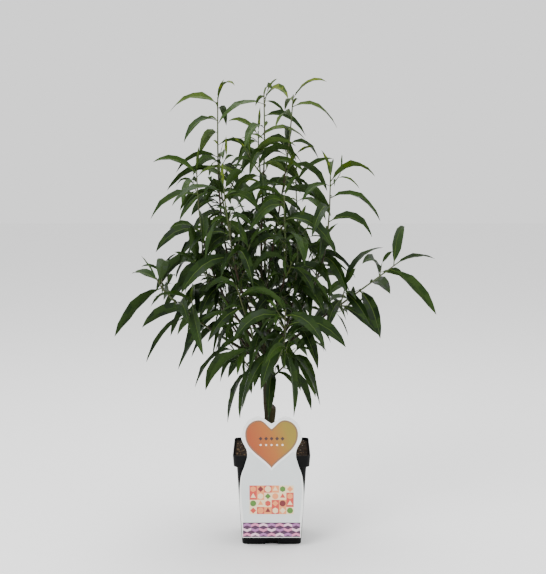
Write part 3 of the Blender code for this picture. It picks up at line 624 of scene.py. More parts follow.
leafBlade = {
    "stations": (0, 1, 2, 4, 6, 8, 10, 11, 12),
    "widths": (0.085, 0.10, 0.50, 0.93, 1.0, 0.87, 0.53, 0.28, 0.015),
    "halfWidth": 0.101,           # by length
    "ribWidths": (0.080, 0.085, 0.075, 0.060, 0.050, 0.040, 0.028, 0.020, 0.012),
    "fold": (12.0, 36.0),         # degrees that each half stands up from flat
    "wave": 0.13, "waveRate": 17, "twist": 0.45, "slimAtTop": 0.22, "slimHeights": (0.55, 0.95),
    "ribThickness": 0.0055, "ribThinning": 0.8, "ribUnderside": 0.8, "creaseAngle": 100,
    "ring": 6, "topFaces": (0, 2), "ribFace": 1, "across": (0.0, 0.47, 0.53, 1.0, 0.53, 0.47),
    "seeds": (41, 42),
}
leafTones = {
    # Upper tones, darkest first: the near-black ones are painted shade inside the crown, the light ones
    # painted light on top
    "upper": ((0.0030, 0.0110, 0.0004), (0.0048, 0.0160, 0.0005), (0.0080, 0.0240, 0.0007),
              (0.0140, 0.0360, 0.0010), (0.0320, 0.0580, 0.0020), (0.0720, 0.1020, 0.0040)),
    "under": ((0.0140, 0.0300, 0.0050), (0.0190, 0.0390, 0.0065), (0.0300, 0.0540, 0.0080)),
    # Tones, name, the veins' share of the tone, and roughness, specular and relief
    "sides": (("upper", "blade", 1.7, (0.48, 0.14, 0.35)), ("under", "bladeUnder", 0.8, (0.65, 0.10, 0.6))),
    "rib": ("midrib", (0.045, 0.075, 0.010), (0.026, 0.050, 0.006), 0.5, 90), "ribSpecular": 0.12,
    # The height share makes higher leaves lighter and lower ones darker: painted light and painted shade, not
    # leaf colour
    "base": 0.15, "paintedLightByHeight": 0.42, "heights": (0.55, 1.0), "byYouth": 0.38, "youngAge": 6, "spread": 0.16,
}


def leafSkin(leaf, draw):
    blade = leafBlade
    points, downs, across = leaf["midrib"]
    length = leaf["length"]
    fold = math.radians(draw.uniform(*blade["fold"]))
    twist = draw.uniform(-blade["twist"], blade["twist"])
    phases = [draw.uniform(0, 2 * math.pi) for side in range(2)]
    slim = 1 - blade["slimAtTop"] * ease(*blade["slimHeights"], leaf["height"])
    skin = []
    for k, wide, rib in zip(blade["stations"], blade["widths"], blade["ribWidths"]):
        share = k / growth["leafSteps"]
        level = Matrix.Rotation(twist * share, 3, downs[k]) @ across
        level = (level - downs[k] * level.dot(downs[k])).normalized()
        face = downs[k].cross(level)
        half = length * blade["halfWidth"] * wide * slim
        lift = half * math.sin(fold)
        left, right = (half * blade["wave"] * math.sin(phase + share * blade["waveRate"]) for phase in phases)
        spread = level * half * math.cos(fold)
        edge = level * (length * blade["halfWidth"] * rib)
        below = face * (length * blade["ribThickness"] * (1 - blade["ribThinning"] * share))
        skin += [points[k] - spread + face * (lift + left), points[k] - edge, points[k] + edge,
                 points[k] + spread + face * (lift + right), points[k] + edge * blade["ribUnderside"] - below,
                 points[k] - edge * blade["ribUnderside"] - below]
    return skin


def leafTone(leaf, draw):
    # Young leaves are lighter, as real ones are; higher leaves get painted light and lower ones painted shade
    rule, count = leafTones, len(leafTones["upper"])
    youth = max(0.0, 1 - leaf["age"] / rule["youngAge"])
    # The height term is painted light from above and painted shade under the crown; the youth term is real
    # leaf colour
    value = rule["base"] + rule["paintedLightByHeight"] * ease(*rule["heights"], leaf["height"]) + rule["byYouth"] * youth
    return min(count - 1, max(0, int((value + draw.uniform(-rule["spread"], rule["spread"])) * count)))


def leafMaterials():
    made = []
    for tones, label, vein, finish in leafTones["sides"]:
        for i, tone in enumerate(leafTones[tones]):
            made.append(bladeMaterial(label + str(i), tone, [c * vein for c in tone], *finish))
    return made + [mottled(*leafTones["rib"], specular=leafTones["ribSpecular"])]


def buildLeaves(name, leaves, materials, seed):
    draw = random.Random(seed)
    blade, ring, rows = leafBlade, leafBlade["ring"], len(leafBlade["stations"]) - 1
    reached = [k / growth["leafSteps"] for k in blade["stations"]]
    ribSlot = len(materials) - 1
    coords, faces, slots, spots = [], [], [], []
    for leaf in leaves:
        start = len(coords)
        coords += leafSkin(leaf, draw)
        tone = leafTone(leaf, draw)
        # The underside tone follows the upper one, so it carries the same painted shade lower in the crown
        under = len(leafTones["upper"]) + tone // 2
        for row in range(rows):
            low, high = start + row * ring, start + (row + 1) * ring
            for j in range(ring):
                k = (j + 1) % ring
                faces.append((low + j, high + j, high + k, low + k))
                onTop, onRib = j in blade["topFaces"] and row > 0, j == blade["ribFace"] or row == 0
                slots.append(tone if onTop else ribSlot if onRib else under)
                corners = ((j, row), (j, row + 1), (k, row + 1), (k, row))
                spots += [(blade["across"][side], reached[end]) for side, end in corners]
        faces.append(tuple(range(start, start + ring)))
        faces.append(tuple(reversed(range(start + rows * ring, len(coords)))))
        slots += [ribSlot, tone]
        spots += [(0.5, 0.0)] * ring + [(0.5, 1.0)] * ring
    mesh = bpy.data.meshes.new(name)
    mesh.from_pydata(coords, [], faces)
    for material in materials:
        mesh.materials.append(material)
    mesh.polygons.foreach_set("material_index", slots)
    layer = mesh.uv_layers.new(name="blade")
    layer.uv.foreach_set("vector", np.array(spots, dtype=np.float32).ravel())
    shadeSmooth(mesh)
    mesh.set_sharp_from_angle(angle=math.radians(blade["creaseAngle"]))
    return newObject(name, mesh)


# Stems, twigs and bark

stemLook = {
    "steps": 3, "fineSteps": 2, "roundness": 2, "greenLength": 0.16, "sunk": 0.001, "sunkShare": 0.97,
    "tipShare": 0.8, "twigTipShare": 0.7, "fineRadii": (0.0013, 0.0008),
}
bark = {
    "step": 0.0012, "curveSteps": 12, "ridge": 0.0007, "fine": 0.00012, "ridgeHeights": (0.300, 0.330),
    "boughFine": 1.6, "collar": 1.35, "trunkRoundness": 20, "stemRoundness": 12, "boughRoundness": 6,
    "youngAbove": 0.006, "cutReach": 0.0003, "cutFacing": 0.95,
    "ridges": (260, 55, 0.55), "roughness": (700, 260, 0.3),
    "lenticels": (130, 620, 0.9), "lenticelLevel": 0.25,
}
# Name, base, patch, roughness, scale, stretch, amount, bump, bump scale, depth, specular
barkLooks = {
    "trunk": ("oldBark", (0.036, 0.030, 0.010), (0.013, 0.011, 0.004),
              0.85, 60, 0.35, 0.9, 0.7, 320, 0.0012, 0.15),
    "bough": ("youngBark", (0.026, 0.018, 0.006), (0.014, 0.017, 0.004),
              0.60, 70, 0.5, 0.8, 0.4, 420, 0.0006, 0.2),
    "stem": ("redStem", (0.026, 0.012, 0.005), (0.013, 0.017, 0.004),
             0.50, 60, 0.4, 0.9, 0.3, 500, 0.0004, 0.25),
    "shoot": ("greenStem", (0.030, 0.052, 0.004), (0.034, 0.022, 0.005),
              0.45, 70, 0.5, 0.7, 0.2, 500, 0.0003, 0.4),
    "cut": ("cutWood", (0.060, 0.045, 0.032), (0.020, 0.016, 0.012),
            0.8, 260, 1.0, 0.9, 0.5, 500, 0.0006, 0.2),
}


def throughPoints(points, radii, steps):
    # A smooth path through points, with steps between two of them
    ends = [points[0] * 2 - points[1]] + list(points) + [points[-1] * 2 - points[-2]]
    path, widths = [], []
    for i in range(len(points) - 1):
        a, b, c, d = ends[i:i + 4]
        for k in range(steps):
            t = k / steps
            path.append((b * 2 + (c - a) * t + (a * 2 - b * 5 + c * 4 - d) * t * t
                         + (b * 3 - a - c * 3 + d) * t * t * t) / 2)
            widths.append(radii[i] + (radii[i + 1] - radii[i]) * t)
    return path + [points[-1]], widths + [radii[-1]]


def tubes(name, runs, materials, roundness):
    curve = bpy.data.curves.new(name, "CURVE")
    curve.dimensions = "3D"
    curve.bevel_depth = 1.0
    curve.bevel_resolution = roundness
    curve.use_fill_caps = True
    for material in materials:
        curve.materials.append(material)
    for points, radii, slot in runs:
        spline = curve.splines.new("POLY")
        spline.material_index = slot
        spline.use_smooth = True
        spline.points.add(len(points) - 1)
        for spot, place, radius in zip(spline.points, points, radii):
            spot.co = (*place, 1.0)
            spot.radius = radius
    return skinOf(name, curve)


def stemRuns():
    # Each stem is dark red-brown lower down and green towards its tip
    look, g = stemLook, growth
    runs = []
    for mass in masses:
        radii = taper(g["twigRadius"], g["twigTipRadius"] * look["tipShare"], len(mass["nodes"]))
        path, widths = throughPoints(mass["nodes"], radii, look["steps"])
        left = 0.0
        turn = len(path) - 1
        while turn > 1 and left < look["greenLength"]:
            left += (path[turn] - path[turn - 1]).length
            turn -= 1
        runs.append((path[:turn + 1], widths[:turn + 1], 0))
        sunk = path[turn] + (path[turn - 1] - path[turn]).normalized() * look["sunk"]
        runs.append(([sunk] + path[turn + 1:], [widths[turn] * look["sunkShare"]] + widths[turn + 1:], 1))
        for twig in mass["twigs"]:
            radii = taper(g["sideTwigRadius"], g["twigTipRadius"] * look["twigTipShare"], len(twig))
            runs.append((*throughPoints(twig, radii, look["steps"]), 1))
        for twig in mass["fineTwigs"]:
            runs.append((*throughPoints(twig, taper(*look["fineRadii"], len(twig)), look["fineSteps"]), 1))
    return runs


def evenPath(points, radii):
    # Smooth through the points, then walked at even steps so that the relief has rings to stand on
    path, widths = throughPoints(points, radii, bark["curveSteps"])
    gone = [0.0]
    for a, b in zip(path, path[1:]):
        gone.append(gone[-1] + (b - a).length)
    wants = np.linspace(0.0, gone[-1], max(2, round(gone[-1] / bark["step"])) + 1)
    table = np.array([list(point) + [width] for point, width in zip(path, widths)])
    rows = np.stack([np.interp(wants, gone, table[:, i]) for i in range(4)], axis=1)
    return [Vector(row[:3]) for row in rows], [float(row[3]) for row in rows]


def barkRelief(mesh, amount):
    # Upright ridges with short level lenticels between them
    count = len(mesh.vertices)
    coords, outward = np.empty(count * 3), np.empty(count * 3, dtype=np.float32)
    mesh.vertices.foreach_get("co", coords)
    mesh.vertex_normals.foreach_get("vector", outward)
    coords, outward = coords.reshape(count, 3), outward.reshape(count, 3)
    (ridge, tall, ridged), (rough, fine, roughened), (wide, low, barred) = (
        bark["ridges"], bark["roughness"], bark["lenticels"])
    rise = np.empty((count, 1))
    for i, (x, y, z) in enumerate(coords):
        height = ridged * noise.noise((x * ridge, y * ridge, z * tall))
        height += roughened * noise.noise((x * rough, y * rough, z * fine))
        height += barred * max(0.0, noise.noise((x * wide + 7, y * wide, z * low)) - bark["lenticelLevel"])
        rise[i] = amount(z) * height
    mesh.vertices.foreach_set("co", (coords + outward * rise).ravel())
    mesh.update()


def trunkRelief(z):
    return bark["fine"] + bark["ridge"] * (1 - ease(*bark["ridgeHeights"], z))


def buildTrunk(materials):
    g = growth
    obj = tubes("trunkBark", [(*evenPath(*rootstockPath()), 0)], [], bark["trunkRoundness"])
    top = Vector((g["trunkFootX"] + g["stubLean"], 0.0, g["stubTop"]))
    tilt = math.radians(g["stubCutTilt"])
    saw = Vector((math.sin(tilt), -math.sin(tilt) / 2, math.cos(tilt)))
    bm = bmesh.new()
    bm.from_mesh(obj.data)
    whole = bm.verts[:] + bm.edges[:] + bm.faces[:]
    bmesh.ops.bisect_plane(bm, geom=whole, plane_co=top, plane_no=saw, clear_outer=True)
    bmesh.ops.holes_fill(bm, edges=[e for e in bm.edges if e.is_boundary])
    stem = tubes("stem", [(*evenPath(*stemPath()), 0)], [], bark["stemRoundness"])
    bm.from_mesh(stem.data)
    bpy.data.objects.remove(stem, do_unlink=True)
    bm.to_mesh(obj.data)
    bm.free()
    for key in ("trunk", "bough", "cut"):
        obj.data.materials.append(materials[key])
    for face in obj.data.polygons:
        onSaw = abs((face.center - top).dot(saw)) < bark["cutReach"]
        young = face.center.z > g["stubTop"] + bark["youngAbove"]
        sawn = onSaw and face.normal.dot(saw) > bark["cutFacing"]
        face.material_index = 2 if sawn else 1 if young else 0
    barkRelief(obj.data, trunkRelief)
    shadeSmooth(obj.data)
    return obj


def buildBoughs(material):
    runs = []
    for shoot in limbed:
        points, radii = boughPath(shoot)
        radii[0] *= bark["collar"]
        runs.append((*evenPath(points, radii), 0))
    obj = tubes("boughsBark", runs, [material], bark["boughRoundness"])
    barkRelief(obj.data, lambda z: bark["fine"] * bark["boughFine"])
    shadeSmooth(obj.data)
    return obj


def buildPlant():
    barks = {key: mottled(*look) for key, look in barkLooks.items()}
    blades = leafMaterials()
    leaves = [leaf for mass in masses for leaf in mass["leaves"]]
    large, small = ([leaf for leaf in leaves if leaf["kind"] == kind] for kind in ("large", "small"))
    large = buildLeaves("leaves", large, blades, leafBlade["seeds"][0])
    small = buildLeaves("smallLeaves", small, blades, leafBlade["seeds"][1])
    for piece in (large, small):
        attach(piece, "root")
    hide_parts(*["foliage_" + shoot["name"] for shoot in shoots])
    twigs = tubes("twigs", stemRuns(), [barks["stem"], barks["shoot"]], stemLook["roundness"])
    trunk = buildTrunk(barks)
    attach(trunk, "root")
    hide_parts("trunk")
    boughs = buildBoughs(barks["bough"])
    for piece in (twigs, boughs):
        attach(piece, "root")
    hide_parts(*["bough_" + shoot["name"] for shoot in limbed])
    print("plant made:", len(leaves), "leaves")


buildPlant()


# Pot

pot = {
    "height": 0.204, "bandHeight": 0.026, "footHalf": 0.0650, "shoulderHalf": 0.0760, "bandHalf": 0.0825,
    "rimHalf": 0.0845, "corner": 0.012, "cornerPoints": 10, "wall": 0.0016, "floor": 0.0022,
    "edge": 0.0008, "lip": 0.0012, "lipIn": 0.0005, "shoulderBulge": 0.0004, "bandEdge": 0.0010,
    "innerDraft": 0.0003, "innerStep": 0.003,
    "firmRow": 0.0040, "middleRows": (0.0598, 0.0602), "lastRow": 0.006,
    "notchWidth": 0.028, "notchHeight": 0.010, "notchDepth": 0.006, "notchRound": 0.0015,
    "drainRadius": 0.005, "drainOffset": 0.036, "drainSides": 24, "creaseAngle": 35,
}
plasticLook = ("blackPlastic", (0.0018, 0.0020, 0.0023), (0.0034, 0.0036, 0.0038),
               0.40, 22, 0.4, 0.8, 0.12, 900, 0.0002, 0.08)


def roundSquare(bm, half, corner, z):
    # The first level loop: a circle whose quarters are moved out to the corners
    made = bmesh.ops.create_circle(bm, segments=pot["cornerPoints"] * 4, radius=corner,
                                   matrix=Matrix.Rotation(math.pi / pot["cornerPoints"] / 4, 4, "Z"))
    for vert in made["verts"]:
        x, y = (place + math.copysign(half - corner, place) for place in vert.co.xy)
        vert.co = Vector((x, y, z))
    return bm.edges[:]


def nextLoop(bm, loop, before, after):
    # Carries the loop on to its next row: the corners keep their arcs and the sides stay straight
    made = bmesh.ops.extrude_edge_only(bm, edges=loop)["geom"]
    verts = {part for part in made if isinstance(part, bmesh.types.BMVert)}
    (half, corner, z), (nextHalf, nextCorner, nextZ) = before, after
    for vert in verts:
        arc = [(abs(place) - half + corner) * nextCorner / corner for place in vert.co.xy]
        x, y = (math.copysign(nextHalf - nextCorner + reach, place) for reach, place in zip(arc, vert.co.xy))
        vert.co = Vector((x, y, nextZ))
    return [part for part in made if isinstance(part, bmesh.types.BMEdge) and verts.issuperset(part.verts)]


def wallHalf(z):
    return pot["footHalf"] + (pot["shoulderHalf"] - pot["footHalf"]) * z / (pot["height"] - pot["bandHeight"])


def bandHalf(z):
    climb = (z - pot["height"] + pot["bandHeight"]) / pot["bandHeight"]
    return pot["bandHalf"] + (pot["rimHalf"] - pot["bandHalf"]) * climb


def potProfile():
    # Half width, corner radius and height round the pot's wall, from the foot up and back down inside
    p = pot
    top, shoulder = p["height"], p["height"] - p["bandHeight"]
    wall, corner, inner = p["wall"], p["corner"], p["corner"] - p["wall"]
    wallRows = (p["firmRow"], *p["middleRows"], shoulder - p["lastRow"])
    bandRows = (shoulder + p["firmRow"], top - p["firmRow"])
    return [
        (p["footHalf"] - p["edge"], corner - p["edge"], 0.0),
        (p["footHalf"], corner, p["edge"]),
        *[(wallHalf(z), corner, z) for z in wallRows],
        (p["shoulderHalf"] - p["shoulderBulge"], corner, shoulder - p["lip"]),
        (p["shoulderHalf"] + p["shoulderBulge"], corner, shoulder),
        (p["bandHalf"] - p["bandEdge"], corner, shoulder),
        (p["bandHalf"], corner, shoulder + p["bandEdge"]),
        *[(bandHalf(z), corner, z) for z in bandRows],
        (p["rimHalf"], corner, top - p["lip"]),
        (p["rimHalf"] - p["lipIn"], corner, top),
        (p["rimHalf"] - wall, inner, top),
        (p["rimHalf"] - wall - p["innerDraft"], inner, top - p["edge"]),
        (bandHalf(shoulder + p["innerStep"]) - wall, inner, shoulder + p["innerStep"]),
        (p["shoulderHalf"] - wall, inner, shoulder + p["bandEdge"]),
        (wallHalf(p["floor"]) - wall, inner, p["floor"]),
    ]


def turnedBox(low, high, turn, rounding=0.0):
    bm = bmesh.new()
    box(bm, low, high)
    if rounding > 0.0:
        bmesh.ops.bevel(bm, geom=bm.edges[:], offset=rounding, segments=3, profile=0.5, affect="EDGES",
                        material=-1)
    bmesh.ops.rotate(bm, verts=bm.verts, matrix=Matrix.Rotation(turn, 3, "Z"))
    return bm


def combine(obj, bm, operation):
    tool = newPiece("tool", bm)
    modifier = obj.modifiers.new("combine", "BOOLEAN")
    modifier.operation = operation
    modifier.object = tool
    graph = bpy.context.evaluated_depsgraph_get()
    mesh = bpy.data.meshes.new_from_object(obj.evaluated_get(graph))
    obj.modifiers.clear()
    obj.data = mesh
    bpy.data.objects.remove(tool, do_unlink=True)


def cutNotches(obj):
    # Each notch is a pocket: a block is joined on inside the wall, and the notch is cut from both
    half, reach, depth, height = pot["notchWidth"] / 2, pot["footHalf"], pot["notchDepth"], pot["notchHeight"]
    wall = pot["wall"]
    for side in range(4):
        turn = side * math.pi / 2
        low = (-half - wall, reach - depth - wall, pot["floor"] / 2)
        high = (half + wall, reach - wall / 2, height + wall)
        combine(obj, turnedBox(low, high, turn), "UNION")
        low, high = (-half, reach - depth, -height), (half, reach + height, height)
        combine(obj, turnedBox(low, high, turn, pot["notchRound"]), "DIFFERENCE")


def cutDrains(obj):
    for x in (-1, 1):
        for y in (-1, 1):
            drill = bmesh.new()
            place = Matrix.Translation((x * pot["drainOffset"], y * pot["drainOffset"], 0.0))
            bmesh.ops.create_cone(drill, cap_ends=True, segments=pot["drainSides"], depth=pot["floor"] * 4,
                                  radius1=pot["drainRadius"], radius2=pot["drainRadius"], matrix=place)
            combine(obj, drill, "DIFFERENCE")


def buildPot():
    bm = bmesh.new()
    rows = potProfile()
    foot = roundSquare(bm, *rows[0])
    loop = foot
    for before, after in zip(rows, rows[1:]):
        loop = nextLoop(bm, loop, before, after)
    bmesh.ops.contextual_create(bm, geom=foot)
    bmesh.ops.contextual_create(bm, geom=loop)
    bmesh.ops.recalc_face_normals(bm, faces=bm.faces)
    obj = newPiece("potShell", bm)
    cutNotches(obj)
    cutDrains(obj)
    obj.data.materials.clear()
    obj.data.materials.append(mottled(*plasticLook))
    shadeSmooth(obj.data)
    obj.data.set_sharp_from_angle(angle=math.radians(pot["creaseAngle"]))
    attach(obj, "root")
    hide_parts("pot")
    print("pot made")


buildPot()


# Soil

soil = {
    "level": 0.196, "half": 0.0808, "corner": 0.0104, "step": 0.0022, "sliver": 0.00005,
    "lift": 0.0012, "rise": 0.0030,
    "lumps": (70, 2.3, 0.5), "crumbs": (260, 5.1, 0.3), "evenly": 0.35,
    "mound": 0.0015, "moundSpread": 0.0012,
    "body": ((0.0808, 0.192), (0.0804, 0.182), (0.0738, 0.1785), (0.0568, 0.0025)),
    "chips": 620, "seed": 4, "clearOfTrunk": 0.020, "chipReach": 0.95, "chipSize": (0.0018, 0.0062),
    "gritShare": 0.10, "lightShare": 0.30, "gritSize": 0.55,
    "chipWide": (0.45, 0.9), "chipFlat": (0.25, 0.55), "chipTilt": 0.7, "chipRise": 0.10,
    "chipRough": (0.35, 900, 40),
}
# In the order of the barks' looks
soilLooks = {
    "crust": ("compost", (0.032, 0.020, 0.012), (0.010, 0.007, 0.005),
              0.95, 160, 1.0, 0.9, 0.9, 500, 0.0020, 0.15),
    "dark": ("darkBark", (0.030, 0.018, 0.011), (0.070, 0.042, 0.024),
             0.9, 120, 1.0, 0.7, 0.6, 700, 0.0008, 0.2),
    "light": ("lightBark", (0.170, 0.110, 0.058), (0.080, 0.050, 0.028),
              0.85, 160, 1.0, 0.7, 0.6, 700, 0.0006, 0.2),
    "grit": ("paleGrit", (0.360, 0.310, 0.230), (0.240, 0.200, 0.140),
             0.9, 200, 1.0, 0.6, 0.4, 900, 0.0005, 0.2),
}


def soilHeight(x, y):
    (lump, lumpSeed, coarse), (crumb, crumbSeed, fine) = soil["lumps"], soil["crumbs"]
    uneven = coarse * noise.noise(Vector((x * lump, y * lump, lumpSeed)))
    uneven += fine * noise.noise(Vector((x * crumb, y * crumb, crumbSeed)))
    mound = math.exp(-((x - growth["trunkFootX"]) ** 2 + y * y) / soil["moundSpread"])
    return soil["level"] + soil["lift"] + soil["rise"] * (uneven + soil["evenly"]) + soil["mound"] * mound


def buildCrust(material):
    count = int(2 * soil["half"] / soil["step"])
    bm = bmesh.new()
    bmesh.ops.create_grid(bm, x_segments=count, y_segments=count, size=soil["half"])
    edge = soil["half"] - soil["corner"]
    for vert in bm.verts:
        flat = vert.co.xy
        inner = Vector([max(-edge, min(edge, place)) for place in flat])
        if (flat - inner).length > soil["corner"]:
            flat = inner + (flat - inner).normalized() * soil["corner"]
        vert.co = Vector((flat.x, flat.y, soilHeight(flat.x, flat.y)))
    bmesh.ops.dissolve_degenerate(bm, dist=soil["sliver"], edges=bm.edges[:])
    half = soil["half"]
    for nextHalf, z in soil["body"]:
        made = bmesh.ops.extrude_edge_only(bm, edges=[e for e in bm.edges if e.is_boundary])["geom"]
        for vert in made:
            if isinstance(vert, bmesh.types.BMVert):
                vert.co = Vector((vert.co.x * nextHalf / half, vert.co.y * nextHalf / half, z))
        half = nextHalf
    bmesh.ops.holes_fill(bm, edges=[e for e in bm.edges if e.is_boundary])
    bmesh.ops.recalc_face_normals(bm, faces=bm.faces)
    crust = newPiece("soilCrust", bm, [material])
    shadeSmooth(crust.data)
    return crust


def buildChips(materials):
    draw = random.Random(soil["seed"])
    rough, roughScale, roughStep = soil["chipRough"]
    bm = bmesh.new()
    for i in range(soil["chips"]):
        x, y = (draw.uniform(-soil["half"], soil["half"]) * soil["chipReach"] for side in range(2))
        if math.hypot(x - growth["trunkFootX"], y) < soil["clearOfTrunk"]:
            continue
        size = draw.uniform(*soil["chipSize"])
        kind = draw.random()
        slot = 2 if kind < soil["gritShare"] else 1 if kind < soil["gritShare"] + soil["lightShare"] else 0
        size = size * soil["gritSize"] if slot == 2 else size
        made = bmesh.ops.create_icosphere(bm, subdivisions=1, radius=size / 2)["verts"]
        squash = Matrix.Diagonal((1.0, draw.uniform(*soil["chipWide"]), draw.uniform(*soil["chipFlat"])))
        turn = Matrix.Rotation(draw.uniform(0, 6.28), 3, "Z")
        turn = turn @ Matrix.Rotation(draw.uniform(-soil["chipTilt"], soil["chipTilt"]), 3, "X")
        place = Vector((x, y, soilHeight(x, y) + size * soil["chipRise"]))
        for vert in made:
            scale = 1 + rough * noise.noise(vert.co * roughScale + place * roughStep)
            vert.co = turn @ (squash @ (vert.co * scale)) + place
        paint(made, slot)
    return newPiece("barkChips", bm, [materials[key] for key in ("dark", "light", "grit")])


def buildSoil():
    materials = {key: mottled(*look) for key, look in soilLooks.items()}
    crust = buildCrust(materials["crust"])
    chips = buildChips(materials)
    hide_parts("soil")
    for piece in (crust, chips):
        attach(piece, "root")
    print("soil made")


buildSoil()


# Label card

card = {
    "thickness": 0.0008, "faceY": -0.0900, "foot": (0.0638, 0.023), "shoulder": (0.0675, 0.153),
    "waist": (0.0525, 0.210), "widest": (0.0650, 0.253), "lobe": (0.0343, 0.292), "notch": 0.277,
    "hookWidth": 0.016, "hookDrop": 0.0062, "layer": 0.00012, "curveSteps": 16,
    "heart": {"widest": (0.0570, 0.255), "lobe": (0.0305, 0.2845), "notch": 0.2650, "tip": 0.1790},
    "heartGrowth": (1.2, 1.5), "border": 0.0042, "line": (-0.0012, -0.0034),
    "panelInset": 0.0028, "panelFoot": 0.0575, "waistInset": 1.1, "waistRise": 0.004,
    "tile": 0.0160, "tileRows": 4, "tileColumns": 6, "tileFoot": 0.0760,
    "motif": 0.42, "motifSides": (4, 32, 3, 6),
    "tilePairs": ((0, 1), (2, 0), (1, 2), (0, 3), (2, 4), (0, 2), (1, 0)),
    "markSize": 0.0044, "markGap": 0.0118, "markRows": ((0.2440, 4), (0.2300, 16)),
    "bandInset": 0.0014, "bandLow": 0.0244, "bandHigh": 0.0570, "zigzags": 7,
    "stripes": 3, "stripeFoot": 0.08, "stripeLift": 0.34, "stripeTones": (1, 3, 2),
}
inks = {
    "cardWhite": (0.80, 0.81, 0.80), "panelGrey": (0.62, 0.66, 0.66), "heartLineTone": (0.17, 0.085, 0.040),
    "markDark": (0.035, 0.012, 0.010), "markPale": (0.72, 0.62, 0.52), "tileCream": (0.78, 0.60, 0.36),
    "tileCoral": (0.52, 0.045, 0.030), "tilePeach": (0.74, 0.25, 0.085), "tileGreen": (0.060, 0.170, 0.018),
    "tileDeep": (0.140, 0.010, 0.014), "bandPlum": (0.050, 0.012, 0.045), "bandPink": (0.62, 0.20, 0.36),
    "bandLilac": (0.34, 0.13, 0.32), "bandPale": (0.74, 0.48, 0.60),
}
inkPatch = 0.93
inkFinish = (0.32, 35, 1.0, 0.5, 0.05, 500, 0.0001, 0.5)    # in the order of the barks' looks
heartTones = ((0.300, 0.050, 0.003, 1), (0.320, 0.092, 0.004, 1), (0.230, 0.160, 0.007, 1))


def printed(*names):
    return [mottled(name, inks[name], [c * inkPatch for c in inks[name]], *inkFinish) for name in names]


def onCard(piece):
    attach(piece, "root")
    return piece


def flatShape(name, loops, y, thickness, material):
    # A flat sheet from closed outlines in X and Z; a second outline inside the first is a hole
    curve = bpy.data.curves.new(name, "CURVE")
    curve.dimensions = "2D"
    curve.fill_mode = "BOTH"
    curve.extrude = thickness / 2
    curve.resolution_u = card["curveSteps"]
    for outline in loops:
        spline = curve.splines.new("BEZIER")
        spline.bezier_points.add(len(outline) - 1)
        spline.use_cyclic_u = True
        for point, (x, z, kind) in zip(spline.bezier_points, outline):
            point.co = (x, z, 0.0)
            point.handle_left_type = kind
            point.handle_right_type = kind
    place = Matrix.Translation((0.0, y + thickness / 2, 0.0)) @ Matrix.Rotation(math.pi / 2, 4, "X")
    obj = skinOf(name, curve, place)
    obj.data.materials.clear()
    obj.data.materials.append(material)
    return onCard(obj)


def prism(bm, centre, sides, radius):
    # A flat shape of a few sides, one printed layer thick, that faces the viewer
    place = Matrix.Translation(centre) @ Matrix.Rotation(math.pi / 2, 4, "X")
    return bmesh.ops.create_cone(bm, cap_ends=True, segments=sides, radius1=radius, radius2=radius,
                                 depth=card["layer"], matrix=place)["verts"]


def bothSides(right, notch=None, tip=None):
    left = [(-x, z, kind) for x, z, kind in reversed(right)]
    middle = [(0.0, notch, "VECTOR")] if notch else []
    end = [(0.0, tip, "VECTOR")] if tip else []
    return list(right) + middle + left + end


def cardOutline():
    curved = [(*card[name], "AUTO") for name in ("shoulder", "waist", "widest", "lobe")]
    return bothSides([(*card["foot"], "VECTOR")] + curved, card["notch"])


def panelOutline():
    inset, waist = card["panelInset"], card["waist"]
    return bothSides(((card["foot"][0] - inset, card["panelFoot"], "VECTOR"),
                      (card["shoulder"][0] - inset, card["shoulder"][1], "AUTO"),
                      (waist[0] - inset * card["waistInset"], waist[1] + card["waistRise"], "VECTOR")))


def heartOutline(grow=0.0):
    shape = card["heart"]
    atNotch, atTip = card["heartGrowth"]
    right = ((shape["widest"][0] + grow, shape["widest"][1], "AUTO"),
             (shape["lobe"][0], shape["lobe"][1] + grow, "AUTO"))
    return bothSides(right, shape["notch"] + grow * atNotch, shape["tip"] - grow * atTip)


def heartMaterial():
    # Orange at the lower left turning to yellow-olive at the upper right
    material, tree, shader = newMaterial("heartPrint", 0.30)
    place = addNode(tree, "TexCoord")
    parts = addNode(tree, "SeparateXYZ")
    slant = addNode(tree, "Math", {1: 0.35}, operation="MULTIPLY_ADD")
    spread = addNode(tree, "MapRange", {"From Min": 0.040, "From Max": 0.125})
    ramp = addNode(tree, "ValToRGB")
    low, middle, high = heartTones
    ramp.color_ramp.elements[0].color = low
    ramp.color_ramp.elements[1].color = high
    ramp.color_ramp.elements.new(0.5).color = middle
    relief = addNode(tree, "Group", {"Scale": 500.0, "Stretch": 1.0, "Strength": 0.05, "Depth": 0.0001},
                     node_tree=grain)
    wire(tree, (place.outputs["Object"], parts.inputs["Vector"]), (parts.outputs["Z"], slant.inputs[0]),
         (parts.outputs["X"], slant.inputs[2]), (slant.outputs["Value"], spread.inputs["Value"]),
         (spread.outputs["Result"], ramp.inputs["Fac"]), (ramp.outputs["Color"], shader["Base Color"]),
         (relief.outputs["Normal"], shader["Normal"]))
    return material


def buildHook(white):
    # The strip that goes back over the rim and down inside it
    bm = bmesh.new()
    half, thick = card["hookWidth"] / 2, card["thickness"]
    front, inside = card["faceY"] + thick / 2, pot["wall"] - pot["rimHalf"] + 2 * growth["gap"]
    low = pot["height"] + growth["gap"]
    high = low + thick
    box(bm, (-half, front, low), (half, inside + thick, high))
    box(bm, (-half, inside, high - card["hookDrop"] - thick), (half, inside + thick, high))
    onCard(newPiece("labelHook", bm, [white]))


def buildMarks():
    # A row of dark lozenges over a row of pale dots, in the middle of the heart
    bm = bmesh.new()
    y = card["faceY"] - 4 * card["layer"]
    for row, (z, sides) in enumerate(card["markRows"]):
        for column in range(-2, 3):
            mark = prism(bm, (column * card["markGap"], y, z), sides, card["markSize"] / (row + 1))
            paint(mark, row)
    onCard(newPiece("heartMarks", bm, printed("markDark", "markPale")))


